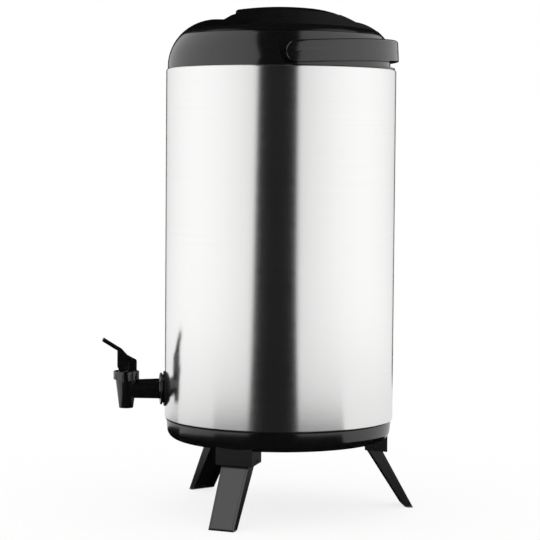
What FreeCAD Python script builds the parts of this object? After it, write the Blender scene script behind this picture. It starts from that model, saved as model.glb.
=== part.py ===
import FreeCAD, Part
import math
import os
import re
import Sketcher

# Insulated beverage dispenser: a double-walled steel barrel on three folding legs, with a screw
# lid, a carrying bail and a lever tap. The origin is on the floor, on the barrel's axis. +Z is up,
# the tap points to -Y, and the bail rests on the +Y side.

vec = FreeCAD.Vector
os.makedirs("parts", exist_ok=True)
doc = FreeCAD.newDocument("beverage_dispenser")

# Driving dimensions, in millimetres and degrees

sizes = {
    # barrel wall
    "shell_bottom": 95.5,
    "shell_height": 366,
    "shell_radius": 120,
    "shell_wall": 0.8,
    "shell_shoulder": 2.5,
    "shell_lip_width": 10,
    # pot
    "pot_gap": 14,
    "pot_wall": 0.8,
    "pot_lift": 8.5,
    "pot_corner": 8,
    "pot_flange_width": 8.5,
    "foam_gap": 0.3,
    # base
    "base_height": 20,
    "base_inset": 1.7,
    "base_lean": 1,
    "base_rounding": 10,
    "base_wall": 3,
    "spigot_clearance": 0.3,
    "spigot_height": 6,
    "fill_hole_radius": 9,
    "plug_rim": 3,
    "plug_thickness": 1.5,
    "boss_radius": 4,
    "boss_height": 8,
    # leg brackets
    "leg_angle_back": 90,
    "leg_spread_angle": 120.5,
    "bracket_inset": 6.5,
    "bracket_length": 23.5,
    "bracket_half_width": 20,
    "bracket_side": 4.2,
    "bracket_drop": 14.8,
    "bracket_roof": 3,
    "bracket_front": 2.8,
    "bracket_rise": 2.2,
    "bracket_fit": 0.2,
    "screw_setback": 5,
    "screw_offset": 8,
    "screw_radius": 1.5,
    "screw_clearance": 0.2,
    "screw_length": 10,
    "screw_head_radius": 2.8,
    "screw_head_height": 2,
    "leg_pin_setback": 12.7,
    "leg_pin_drop": 10.3,
    "leg_pin_radius": 1.75,
    "pin_running_fit": 0.06,
    "pin_end": 0.5,
    # legs
    "leg_splay": 29,
    "leg_head_radius": 6.9,
    "leg_face": 5.5,
    "leg_side_start": 6.7,
    "leg_side_end": 2,
    "leg_side_length": 72.2,
    "leg_heel_step": 1.5,
    "leg_heel_length": 72.9,
    "leg_heel_edge": 0.6,
    "leg_top_half_width": 15,
    "leg_foot_half_width": 13.8,
    "leg_wall": 2.5,
    "leg_sole": 3,
    # tap
    "tap_rise": 32,
    "spout_reach": 40.6,
    "spout_drop": 19.8,
    "spout_end_radius": 7.35,
    "spout_top_radius": 11.1,
    "spout_top": 9.2,
    "outlet_radius": 5.2,
    "seat_drop": 5.5,
    "chamber_radius": 8.2,
    "tap_neck_radius": 10.4,
    "tap_neck_top": 15,
    "tube_front_radius": 9.6,
    "tube_back_radius": 10.6,
    "tube_bore_radius": 5,
    "tap_flange_radius": 16.6,
    "tap_flange_thickness": 2.2,
    "tap_flange_gap": 3.2,
    "tap_collar_radius": 14.8,
    "shank_radius": 8,
    "shank_length": 30.5,
    "wall_hole_clearance": 0.4,
    "outer_washer_radius": 18.3,
    "outer_washer_thickness": 1.5,
    "washer_fit": 0.1,
    "inner_washer_radius": 13,
    "inner_washer_thickness": 2.7,
    "nut_corner_radius": 14,
    "nut_thickness": 8.2,
    "sleeve_radius": 13,
    "sleeve_wall": 2.5,
    "sleeve_gap": 1,
    "bonnet_radius": 13.4,
    "bonnet_lift": 1,
    "bonnet_top_thickness": 2.4,
    "bonnet_fit": 0.3,
    "bonnet_flutes": 10,
    "flute_radius": 1,
    "flute_depth": 0.7,
    "bonnet_rim": 2.4,
    "cup_rim_thickness": 1.4,
    "cup_bell_radius": 7.6,
    "cup_nose_radius": 6.2,
    "cup_wall": 1.2,
    "cup_seat_gap": 0.1,
    "cup_nose_inset": 1.6,
    "cup_nose_rise": 1.2,
    "cup_nose_level": 1,
    "cup_bell_level": 8,
    "cup_throat_level": 3,
    "cup_throat_fit": 0.1,
    "cup_rim_inset": 0.2,
    "stem_radius": 2.5,
    "stem_hole_clearance": 0.5,
    "bulb_radius": 4,
    "bulb_height": 2.4,
    "bulb_lift": 2.7,
    "eye_radius": 3.1,
    "eye_half_width": 2.3,
    "lever_pin_radius": 1.5,
    # lever
    "lever_half_width": 6.5,
    "lever_slot_half_width": 2.8,
    "lever_slot_front": 6.6,
    "lever_slot_back": 8.6,
    "lever_slot_top": 6,
    "lever_gap": 0.4,
    "cam_radius": 4.5,
    "cam_forward": 4.7,
    "cam_rise": 0.85,
    "lever_back": 10.6,
    "lever_back_bottom": 2.8,
    "lever_back_top": 7.1,
    "lever_kink_y": 1.2,
    "lever_kink_z": 12.2,
    "paddle_root_y": 4.5,
    "paddle_root_z": 18.6,
    "paddle_tip_y": 23.4,
    "paddle_tip_z": 30.4,
    "paddle_thickness": 3.5,
    # collar
    "collar_inset": 1.5,
    "collar_foot": 2,
    "crown_arc": 48.4,
    "collar_height": 34,
    "collar_wall": 3,
    "collar_backing": 3,
    "neck_inset": 23,
    "rebate_rim": 2.6,
    "rebate_depth": 2.5,
    "pot_rim_fit": 0.3,
    "ledge_thickness": 2.4,
    "ledge_clearance": 0.4,
    "gasket_thickness": 0.8,
    "gasket_inset": 0.4,
    "gasket_width": 4,
    # bail and its recess
    "pivot_height": 13.2,
    "recess_inset": 6.2,
    "recess_floor": 11.4,
    "recess_front": 16.5,
    "recess_lean": 12.5,
    "recess_top": 26,
    "bail_clearance": 1.4,
    "bail_thickness": 7,
    "bail_half_height": 11,
    "bail_edge": 3,
    "bail_tilt": 3,
    "bail_screw_radius": 3,
    "bail_head_radius": 5,
    "bail_head_height": 3,
    "bail_head_gap": 0.5,
    "bail_skin": 1.2,
    "bail_screw_gap": 0.6,
    "bail_bore_fit": 0.08,
    "bail_washer_radius": 6,
    "bail_washer_thickness": 0.7,
    "bail_washer_bore": 3.2,
    # lid
    "lid_gap": 0.4,
    "lid_wall": 2.5,
    "grip_half_width": 14,
    "grip_bevel_width": 4,
    "grip_foot_y": 62,
    "grip_shoulder_y": 54,
    "grip_shoulder_z": 4.6,
    "grip_nose_y": 47,
    "grip_nose_z": 6.8,
    "grip_crown_y": 2,
    "grip_crown_z": 14.2,
    "grip_crown_arc": 330,
    "grip_bend_y": 30,
    "grip_tail_arc": 120,
    "grip_tail_y": 76,
    "grip_bevel_drop": 3.2,
    "grip_root_depth": 15,
    "grip_root_spread": 4,
    "grip_hollow_depth": 10,
    "grip_tail_skin": 0.5,
    "grip_back_skin": 0.8,
    "scoop_center_x": 20,
    "scoop_center_y": 10,
    "scoop_center_z": 7.6,
    "scoop_half_width": 144.5,
    "scoop_half_length": 300,
    "scoop_depth": 19.6,
    "plug_skirt_gap": 3,
    "plug_depth": 26,
    "plug_wall": 2.5,
    "plug_corner": 3,
    "plug_flange_thickness": 2.2,
    "plug_flange_fit": 0.2,
    "lid_foam_top": 1,
    "seal_gap": 0.3,
    "seal_inset": 0.6,
    "seal_rim": 2.2,
    "lug_count": 4,
    "lug_lead": 24,
    "lug_span": 40,
    "lug_height": 2.6,
    "lug_gap": 0.4,
    "lug_depth": 2.6,
    "lug_level": 16,
    "lug_overlap": 10,
    "vent_offset": 55,
    "vent_tube_radius": 5,
    "vent_bore_radius": 3.2,
    "vent_tube_top": 6.1,
    "vent_plug_radius": 2.9,
    "vent_plug_head": 2.4,
    "vent_plug_length": 14,
    "vent_plug_gap": 0.3,
    # how far the cutting shapes reach past what they cut
    "overshoot": 1,
    "carve_reach": 20,
}

homes = {}
sheet = doc.addObject("Spreadsheet::Sheet", "Sizes")
for row, (name, number) in enumerate(sizes.items(), 1):
    sheet.set(f"A{row}", name)
    sheet.set(f"B{row}", str(number))
    sheet.setAlias(f"B{row}", name)
    homes[name] = "Sizes."
doc.recompute()


def full(text):
    # Puts the sheet's or the level list's name before each known word of an expression
    return re.sub(r"[a-z]\w*", lambda word: homes.get(word[0], "") + word[0], text)


def value(text):
    return float(sheet.evalExpression(full(text)))


# Levels and radii that follow from the sizes

places = doc.addObject("App::VarSet", "Places")


def derive(**texts):
    for name, text in texts.items():
        places.addProperty("App::PropertyFloat", name)
        places.setExpression(name, full(text))
        homes[name] = "Places."
        doc.recompute()


derive(
    shell_top="shell_bottom + shell_height",
    shell_inner="shell_radius - shell_wall",
    lip_radius="shell_radius - shell_lip_width",
    pot_radius="shell_radius - pot_gap",
    pot_inner="shell_radius - pot_gap - pot_wall",
    pot_bottom="shell_bottom + pot_lift",
    rim_level="shell_bottom + shell_height + pot_wall",
    base_bottom="shell_bottom - base_height",
    base_radius="shell_radius - base_inset",
    bracket_reach="shell_radius - bracket_inset",
    neck_radius="shell_radius - neck_inset",
    recess_radius="shell_radius - recess_inset",
    leg_angle_right="leg_angle_back - leg_spread_angle",
    leg_angle_left="leg_angle_back + leg_spread_angle",
)
derive(
    flange_radius="pot_radius + pot_flange_width",
    base_floor="base_bottom + base_wall",
    spigot_radius="lip_radius - spigot_clearance",
    bracket_bottom="base_bottom - bracket_drop",
    leg_pin_radial="bracket_reach - leg_pin_setback",
    leg_pin_level="base_bottom - leg_pin_drop",
    screw_radial="bracket_reach - leg_pin_setback - screw_setback",
    tap_level="shell_bottom + tap_rise",
    spout_y="-shell_radius - spout_reach",
    collar_radius="shell_radius - collar_inset",
    arc_level="shell_top + collar_foot",
    seam_level="shell_top + collar_height",
    pivot_level="shell_top + pivot_height",
    gasket_top="rim_level + gasket_thickness",
)
derive(
    crown_center="collar_radius - crown_arc",
    lid_bottom="seam_level + lid_gap",
    lid_top="arc_level + crown_arc",
    rebate_level="seam_level - rebate_depth",
    backing_radius="recess_radius - collar_backing",
    bail_inner="recess_radius + bail_clearance",
    skirt_radius="neck_radius - plug_skirt_gap",
    plug_bottom="seam_level - plug_depth",
    scoop_level="lid_top + scoop_center_z",
    neck_top="tap_level + tap_neck_top",
    seat_level="tap_level - seat_drop",
    bonnet_bottom="tap_level + spout_top + bonnet_lift",
    flange_y="-shell_radius - tap_flange_gap",
    washer_y="-shell_radius - outer_washer_thickness",
)
derive(
    seam_radius="crown_center + sqrt(crown_arc^2 - (seam_level - arc_level)^2)",
    lid_radius="crown_center + sqrt(crown_arc^2 - (lid_bottom - arc_level)^2)",
    bail_outer="bail_inner + bail_thickness",
    bonnet_top="neck_top + cup_rim_thickness + bonnet_top_thickness",
)
derive(
    rebate_radius="seam_radius - rebate_rim",
    pin_level="bonnet_top + lever_gap + cam_radius - cam_rise",
)

# Tools of the trade: outlines, turned and padded solids, primitives and booleans

turns = {
    "x": FreeCAD.Rotation(vec(0, 1, 0), 90),
    "y": FreeCAD.Rotation(vec(1, 0, 0), -90),
    "z": FreeCAD.Rotation(),
}
nodes = []


def draw(body, role, corners, lift="0"):
    # A closed outline. A corner is (x, y), reached by a line, or (x, y, centre x, centre y, turn),
    # reached by an arc that turns left (1) or right (-1).
    sketch = body.newObject("Sketcher::SketchObject", body.Name + "_outline")
    plane = next(item for item in body.Origin.OriginFeatures if item.Role == role)
    sketch.AttachmentSupport = [(plane, "")]
    sketch.MapMode = "FlatFace"
    sketch.setExpression("AttachmentOffset.Base.z", full(lift))
    spots = [vec(value(corner[0]), value(corner[1]), 0) for corner in corners]
    ends = []
    for index, corner in enumerate(corners):
        start = spots[index - 1]
        end = spots[index]
        if len(corner) == 2:
            sketch.addGeometry(Part.LineSegment(start, end))
            ends.append((1, 2))
            continue
        middle = vec(value(corner[2]), value(corner[3]), 0)
        circle = Part.Circle(middle, vec(0, 0, 1), (start - middle).Length)
        first, last = (start, end) if corner[4] > 0 else (end, start)
        low = math.atan2(first.y - middle.y, first.x - middle.x)
        high = math.atan2(last.y - middle.y, last.x - middle.x)
        if high < low:
            high += 2 * math.pi
        sketch.addGeometry(Part.ArcOfCircle(circle, low, high))
        ends.append((1, 2) if corner[4] > 0 else (2, 1))

    def hold(kind, edge, point, text):
        index = sketch.addConstraint(Sketcher.Constraint(kind, -1, 1, edge, point, value(text)))
        if full(text) != text:
            sketch.setExpression(f"Constraints[{index}]", full(text))

    for index, corner in enumerate(corners):
        after = (index + 1) % len(corners)
        link = Sketcher.Constraint("Coincident", index, ends[index][1], after, ends[after][0])
        sketch.addConstraint(link)
        end = ends[index][1]
        if len(corner) == 2:
            hold("DistanceX", index, end, corner[0])
            hold("DistanceY", index, end, corner[1])
            continue
        hold("DistanceX", index, 3, corner[2])
        hold("DistanceY", index, 3, corner[3])
        reach = spots[index] - vec(value(corner[2]), value(corner[3]), 0)
        if abs(reach.x) < abs(reach.y):
            hold("DistanceX", index, end, corner[0])
        else:
            hold("DistanceY", index, end, corner[1])
    return sketch


def revolve(name, corners, y="0"):
    body = doc.addObject("PartDesign::Body", name)
    sketch = draw(body, "XZ_Plane", corners)
    turn = body.newObject("PartDesign::Revolution", name + "_turn")
    turn.Profile = sketch
    turn.ReferenceAxis = (sketch, ["V_Axis"])
    turn.Angle = 360
    body.setExpression("Placement.Base.y", full(y))
    return body


def pad(name, role, corners, width):
    body = doc.addObject("PartDesign::Body", name)
    feature = body.newObject("PartDesign::Pad", name + "_pad")
    feature.Profile = draw(body, role, corners)
    feature.SideType = "Symmetric"
    feature.setExpression("Length", full(width))
    return body


def put(item, at, along="z"):
    item.Placement = FreeCAD.Placement(vec(0, 0, 0), turns[along])
    for axis, text in zip("xyz", at):
        item.setExpression("Placement.Base." + axis, full(text))
    return item


def bind(item, **texts):
    for name, text in texts.items():
        item.setExpression(name, full(text))
    return item


def cylinder(name, radius, length, at, along="z"):
    item = bind(doc.addObject("Part::Cylinder", name), Radius=radius, Height=length)
    return put(item, at, along)


def cone(name, start_radius, end_radius, length, at, along="z"):
    item = doc.addObject("Part::Cone", name)
    bind(item, Radius1=start_radius, Radius2=end_radius, Height=length)
    return put(item, at, along)


def box(name, low, high):
    item = doc.addObject("Part::Box", name)
    spans = [f"({end}) - ({start})" for start, end in zip(low, high)]
    bind(item, Length=spans[0], Width=spans[1], Height=spans[2])
    return put(item, low)


def fuse(name, items):
    item = doc.addObject("Part::MultiFuse", name)
    item.Shapes = items
    item.Refine = True
    return item


def cut(name, base, tools):
    item = doc.addObject("Part::Cut", name)
    item.Base = base
    item.Tool = tools[0] if len(tools) == 1 else fuse(name + "_tools", tools)
    return item


def common(name, items):
    item = doc.addObject("Part::MultiCommon", name)
    item.Shapes = items
    return item


def group(name, items):
    item = doc.addObject("Part::Compound", name)
    item.Links = items
    return item


def node(item, label):
    item.Label = label
    nodes.append(item)
    return item


def ring(name, outer, inner, length, at, along="z"):
    wall = cylinder(name + "_outside", outer, length, at, along)
    bore = cylinder(name + "_bore", inner, length, at, along)
    return cut(name, wall, [bore])


# Barrel: outer shell, pot and the foam between them


def tap_hole(name):
    reach = "shell_radius + carve_reach"
    at = ("0", f"-({reach})", "tap_level")
    return cylinder(name, "shank_radius + wall_hole_clearance", reach, at, "y")


def outer_shell():
    inner = "shell_radius - shell_shoulder"
    corners = [
        ("lip_radius", "shell_bottom"),
        (inner, "shell_bottom"),
        ("shell_radius", "shell_bottom + shell_shoulder", inner, "shell_bottom + shell_shoulder", 1),
        ("shell_radius", "shell_top - shell_shoulder"),
        (inner, "shell_top", inner, "shell_top - shell_shoulder", 1),
        ("lip_radius", "shell_top"),
        ("lip_radius", "shell_top - shell_wall"),
        (inner, "shell_top - shell_wall"),
        ("shell_inner", "shell_top - shell_shoulder", inner, "shell_top - shell_shoulder", -1),
        ("shell_inner", "shell_bottom + shell_shoulder"),
        (inner, "shell_bottom + shell_wall", inner, "shell_bottom + shell_shoulder", -1),
        ("lip_radius", "shell_bottom + shell_wall"),
    ]
    wall = revolve("shell_skin", corners)
    node(cut("shell_drilled", wall, [tap_hole("shell_tap_hole")]), "outer_shell")


def inner_liner():
    corner_radius = "pot_radius - pot_corner"
    corner_level = "pot_bottom + pot_corner"
    corners = [
        ("0", "pot_bottom"),
        (corner_radius, "pot_bottom"),
        ("pot_radius", corner_level, corner_radius, corner_level, 1),
        ("pot_radius", "shell_top"),
        ("flange_radius", "shell_top"),
        ("flange_radius", "rim_level"),
        ("pot_inner", "rim_level"),
        ("pot_inner", corner_level),
        (corner_radius, "pot_bottom + pot_wall", corner_radius, corner_level, -1),
        ("0", "pot_bottom + pot_wall"),
    ]
    wall = revolve("pot_skin", corners)
    node(cut("pot_drilled", wall, [tap_hole("pot_tap_hole")]), "inner_liner")


def wall_foam():
    spigot_inner = "spigot_radius - base_wall - foam_gap"
    spigot_top = "shell_bottom + spigot_height + foam_gap"
    outside = "shell_inner - foam_gap"
    slope = "shell_shoulder"
    inside = "pot_radius + foam_gap"
    corner_radius = "pot_radius - pot_corner"
    corner_level = "pot_bottom + pot_corner"
    corners = [
        ("0", "base_floor + foam_gap"),
        (spigot_inner, "base_floor + foam_gap"),
        (spigot_inner, spigot_top),
        ("lip_radius + foam_gap", spigot_top),
        ("lip_radius + foam_gap", "shell_bottom + shell_wall + foam_gap"),
        (f"{outside} - {slope}", "shell_bottom + shell_wall + foam_gap"),
        (outside, f"shell_bottom + shell_wall + foam_gap + {slope}"),
        (outside, f"shell_top - shell_wall - foam_gap - {slope}"),
        (f"{outside} - {slope}", "shell_top - shell_wall - foam_gap"),
        (inside, "shell_top - shell_wall - foam_gap"),
        (inside, corner_level),
        (corner_radius, "pot_bottom - foam_gap", corner_radius, corner_level, -1),
        ("0", "pot_bottom - foam_gap"),
    ]
    block = revolve("foam_block", corners)
    reach = "shell_radius + carve_reach"
    at = ("0", f"-({reach})", "tap_level")
    tools = [cylinder("foam_tap_way", "sleeve_radius + foam_gap", reach, at, "y")]
    for name, angle, side in screw_spots():
        at = screw_place(angle, side, "base_floor - overshoot")
        length = "boss_height + foam_gap + overshoot"
        tools.append(cylinder("foam_boss_" + name, "boss_radius + foam_gap", length, at))
    node(cut("foam_trimmed", block, tools), "wall_foam")


# Base ring, the plug of its fill hole, and the screws of the leg brackets


def screw_spots():
    for place in ("right", "left", "back"):
        for mark, side in (("a", "-1"), ("b", "1")):
            yield f"{place}_{mark}", "leg_angle_" + place, side


def screw_place(angle, side, level):
    x = f"screw_radial * cos({angle}) - ({side}) * screw_offset * sin({angle})"
    y = f"screw_radial * sin({angle}) + ({side}) * screw_offset * cos({angle})"
    return (x, y, level)


def base():
    bend = "base_radius - base_lean - base_rounding"
    bend_level = "base_bottom + base_rounding"
    inner_bend = "base_rounding - base_wall"
    floor_drop = f"sqrt(({inner_bend})^2 - (spigot_radius - ({bend}))^2)"
    corners = [
        ("fill_hole_radius", "base_bottom"),
        (bend, "base_bottom"),
        ("base_radius - base_lean", bend_level, bend, bend_level, 1),
        ("base_radius", "shell_bottom"),
        ("base_radius - base_wall", "shell_bottom"),
        ("base_radius - base_lean - base_wall", bend_level),
        ("spigot_radius", f"{bend_level} - {floor_drop}", bend, bend_level, -1),
        ("spigot_radius", "shell_bottom + spigot_height"),
        ("spigot_radius - base_wall", "shell_bottom + spigot_height"),
        ("spigot_radius - base_wall", "base_floor"),
        ("fill_hole_radius", "base_floor"),
    ]
    parts = [revolve("base_dish", corners)]
    holes = []
    for name, angle, side in screw_spots():
        at = screw_place(angle, side, "base_floor - overshoot")
        parts.append(cylinder("base_boss_" + name, "boss_radius", "boss_height + overshoot", at))
        at = screw_place(angle, side, "base_bottom - overshoot")
        depth = "screw_length - bracket_roof + overshoot"
        holes.append(cylinder("base_hole_" + name, "screw_radius", depth, at))
    node(cut("base_drilled", fuse("base_bossed", parts), holes), "base")


def foam_plug():
    corners = [
        ("0", "base_bottom - plug_thickness"),
        ("fill_hole_radius + plug_rim", "base_bottom - plug_thickness"),
        ("fill_hole_radius + plug_rim", "base_bottom"),
        ("fill_hole_radius", "base_bottom"),
        ("fill_hole_radius", "base_floor"),
        ("0", "base_floor"),
    ]
    node(revolve("fill_plug", corners), "foam_plug")


def bracket_screws():
    screws = []
    under_roof = "base_bottom - bracket_roof"
    for name, angle, side in screw_spots():
        at = screw_place(angle, side, under_roof)
        shank = cylinder("shank_" + name, "screw_radius", "screw_length", at)
        at = screw_place(angle, side, f"{under_roof} - screw_head_height")
        head = cylinder("head_" + name, "screw_head_radius", "screw_head_height", at)
        screws.append(fuse("screw_" + name, [shank, head]))
    node(group("screws", screws), "bracket_screws")


# Legs, made pointing to +X and turned to their places round the base


def aim(item, place, inner="placement(vector(0; 0; 0); rotation(vector(0; 0; 1); 0))"):
    turn = f"placement(vector(0; 0; 0); rotation(vector(0; 0; 1); leg_angle_{place})) * {inner}"
    item.setExpression("Placement", full(turn))
    return item


def base_envelope(name):
    bend = "base_radius - base_lean - base_rounding"
    bend_level = "base_bottom + base_rounding"
    grown = "(base_rounding + bracket_fit)"
    corners = [
        ("0", "base_bottom"),
        (f"{bend} + sqrt({grown}^2 - base_rounding^2)", "base_bottom"),
        (f"{bend} + {grown}", bend_level, bend, bend_level, 1),
        (f"{bend} + {grown}", "shell_bottom"),
        ("0", "shell_bottom"),
    ]
    return revolve(name, corners)


def leg_bracket(place):
    name = "bracket_" + place
    inner_end = "bracket_reach - bracket_length"
    half = "bracket_half_width"
    cavity = "bracket_half_width - bracket_side"
    under_roof = "base_bottom - bracket_roof"
    top = "base_bottom + base_rounding / 2"
    side = [
        (inner_end, "bracket_bottom + bracket_rise"),
        ("bracket_reach", "bracket_bottom"),
        ("bracket_reach", top),
        (inner_end, top),
    ]
    block = pad(name + "_block", "XZ_Plane", side, f"2 * {half}")
    tools = [
        base_envelope(name + "_seat"),
        box(
            name + "_cavity",
            (f"{inner_end} - overshoot", f"-({cavity})", "bracket_bottom - overshoot"),
            ("bracket_reach - bracket_front", cavity, under_roof),
        ),
        cylinder(
            name + "_pin_hole",
            "leg_pin_radius",
            f"2 * ({half} + overshoot)",
            ("leg_pin_radial", f"-({half} + overshoot)", "leg_pin_level"),
            "y",
        ),
    ]
    for mark, sign in (("a", "-"), ("b", "")):
        at = ("screw_radial", f"{sign}screw_offset", f"{under_roof} - overshoot")
        depth = "bracket_roof + 2 * overshoot"
        hole = cylinder(f"{name}_hole_{mark}", "screw_radius + screw_clearance", depth, at)
        tools.append(hole)
    node(aim(cut(name, block, tools), place), "leg_bracket_" + place)


def leg_pin(place):
    half = "bracket_half_width - pin_end"
    at = ("leg_pin_radial", f"-({half})", "leg_pin_level")
    pin = cylinder("pin_" + place, "leg_pin_radius", f"2 * ({half})", at, "y")
    node(aim(group("pin_seated_" + place, [pin]), place), "leg_pin_" + place)


def leg(place):
    # The leg is drawn hanging straight down from its pin at the origin, with its face to +X
    name = "leg_" + place

    def along(level, offset):
        # How far down the leg a world level lies, at a distance from the pin's line
        return f"(leg_pin_level - ({level}) + ({offset}) * sin(leg_splay)) / cos(leg_splay)"

    face_top = "sqrt(leg_head_radius^2 - leg_face^2)"
    side = [
        ("leg_face", f"-({along('0', 'leg_face')})"),
        ("leg_face", face_top),
        ("-leg_side_start", "-sqrt(leg_head_radius^2 - leg_side_start^2)", "0", "0", 1),
        ("-leg_side_end", "-leg_side_length"),
        ("-leg_heel_step", "-leg_heel_length"),
        ("leg_heel_edge", f"-({along('0', 'leg_heel_edge')})"),
    ]
    foot = along("0", "leg_face")
    front = [
        ("-leg_top_half_width", "leg_head_radius + overshoot"),
        ("-leg_top_half_width", "0"),
        ("-leg_foot_half_width", f"-({foot})"),
        ("leg_foot_half_width", f"-({foot})"),
        ("leg_top_half_width", "0"),
        ("leg_top_half_width", "leg_head_radius + overshoot"),
    ]
    width = "2 * (leg_top_half_width + overshoot)"
    sides = pad(name + "_side", "XZ_Plane", side, width)
    fronts = pad(name + "_front", "YZ_Plane", front, "4 * leg_head_radius")
    inner_face = "leg_face - leg_wall"
    deep = "(3 * leg_head_radius)"
    hollow_side = [
        (inner_face, f"-({along('leg_sole', inner_face)})"),
        (inner_face, "2 * leg_head_radius"),
        (f"-{deep}", "2 * leg_head_radius"),
        (f"-{deep}", f"-({along('leg_sole', '-' + deep)})"),
    ]
    hollow_front = [
        ("-leg_top_half_width + leg_wall", "3 * leg_head_radius"),
        ("-leg_top_half_width + leg_wall", "0"),
        ("-leg_foot_half_width + leg_wall", f"-({foot})"),
        ("leg_foot_half_width - leg_wall", f"-({foot})"),
        ("leg_top_half_width - leg_wall", "0"),
        ("leg_top_half_width - leg_wall", "3 * leg_head_radius"),
    ]
    hollow_sides = pad(name + "_hollow_side", "XZ_Plane", hollow_side, width)
    hollow_fronts = pad(name + "_hollow_front", "YZ_Plane", hollow_front, "12 * leg_head_radius")
    bore = cylinder(
        name + "_bore", "leg_pin_radius + pin_running_fit", width, ("0", f"-({width}) / 2", "0"), "y"
    )
    solid = common(name + "_solid", [sides, fronts])
    hollow = common(name + "_hollow", [hollow_sides, hollow_fronts])
    made = cut(name, solid, [hollow, bore])
    splay = "placement(vector(leg_pin_radial; 0; leg_pin_level); rotation(vector(0; 1; 0); -leg_splay))"
    node(aim(made, place, splay), name)


# Tap: body, its clamping through the walls, bonnet, valve and lever


def tap_body():
    sweep = [
        cone(
            "spout", "spout_end_radius", "spout_top_radius", "spout_drop + spout_top",
            ("0", "spout_y", "tap_level - spout_drop"),
        ),
        cylinder(
            "tap_neck",
            "tap_neck_radius",
            "tap_neck_top - spout_top",
            ("0", "spout_y", "tap_level + spout_top"),
        ),
        cone(
            "tap_tube", "tube_front_radius", "tube_back_radius", "flange_y - spout_y",
            ("0", "spout_y", "tap_level"), "y",
        ),
        cylinder(
            "tap_flange", "tap_flange_radius", "tap_flange_thickness",
            ("0", "flange_y - tap_flange_thickness", "tap_level"), "y",
        ),
        cylinder(
            "tap_collar", "tap_collar_radius", "washer_y - flange_y", ("0", "flange_y", "tap_level"), "y"
        ),
        cylinder("tap_shank", "shank_radius", "shank_length", ("0", "washer_y", "tap_level"), "y"),
    ]
    ways = [
        cylinder(
            "chamber", "chamber_radius", "neck_top - seat_level + overshoot", ("0", "spout_y", "seat_level")
        ),
        cylinder(
            "outlet", "outlet_radius", "spout_drop - seat_drop + 2 * overshoot",
            ("0", "spout_y", "tap_level - spout_drop - overshoot"),
        ),
        cylinder(
            "tube_bore", "tube_bore_radius", "washer_y + shank_length - spout_y + overshoot",
            ("0", "spout_y", "tap_level"), "y",
        ),
    ]
    node(cut("tap_casting", fuse("tap_outside", sweep), ways), "tap_body")


def tap_washers():
    level = ("0", "washer_y", "tap_level")
    thickness = "2 * (outer_washer_thickness + overshoot)"
    disc = ring("outer_disc", "outer_washer_radius", "shank_radius", thickness, level, "y")
    barrel = cylinder(
        "washer_saddle", "shell_radius + washer_fit", "4 * outer_washer_radius",
        ("0", "0", "tap_level - 2 * outer_washer_radius"),
    )
    node(cut("outer_washer", disc, [barrel]), "tap_outer_washer")
    inner_end = "-pot_inner + inner_washer_thickness"
    disc = ring(
        "inner_disc", "inner_washer_radius", "shank_radius", "inner_washer_thickness + 2 * overshoot",
        ("0", "-pot_inner - 2 * overshoot", "tap_level"), "y",
    )
    barrel = cylinder(
        "inner_saddle", "pot_inner - washer_fit", "4 * inner_washer_radius",
        ("0", "0", "tap_level - 2 * inner_washer_radius"),
    )
    node(common("inner_washer", [disc, barrel]), "tap_inner_washer")
    prism = doc.addObject("Part::Prism", "nut_block")
    prism.Polygon = 6
    bind(prism, Circumradius="nut_corner_radius", Height="nut_thickness")
    put(prism, ("0", inner_end, "tap_level"), "y")
    start = ("0", f"{inner_end} - overshoot", "tap_level")
    bore = cylinder("nut_bore", "shank_radius", "nut_thickness + 2 * overshoot", start, "y")
    node(cut("nut_bored", prism, [bore]), "tap_nut")
    sleeve_length = "pot_gap - shell_wall - sleeve_gap - foam_gap"
    sleeve = ring(
        "sleeve", "sleeve_radius", "sleeve_radius - sleeve_wall", sleeve_length,
        ("0", "-shell_inner + sleeve_gap", "tap_level"), "y",
    )
    node(sleeve, "tap_sleeve")


def tap_bonnet():
    plate = "bonnet_top - bonnet_top_thickness"
    inner = "tap_neck_radius + bonnet_fit"
    corners = [
        (inner, "bonnet_bottom"),
        ("bonnet_radius", "bonnet_bottom"),
        ("bonnet_radius", "bonnet_top"),
        ("stem_radius + stem_hole_clearance", "bonnet_top"),
        ("stem_radius + stem_hole_clearance", plate),
        (inner, plate),
    ]
    cap = revolve("bonnet_cap", corners, "spout_y")
    flutes = []
    for index in range(int(value("bonnet_flutes"))):
        angle = f"360 * ({index} + 1 / 2) / bonnet_flutes"
        reach = "(bonnet_radius + flute_radius - flute_depth)"
        at = (f"{reach} * cos({angle})", f"spout_y + {reach} * sin({angle})", "bonnet_bottom - overshoot")
        length = "bonnet_top - bonnet_rim - bonnet_bottom + overshoot"
        flutes.append(cylinder(f"flute_{index}", "flute_radius", length, at))
    node(cut("bonnet_fluted", cap, flutes), "tap_bonnet")


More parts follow.
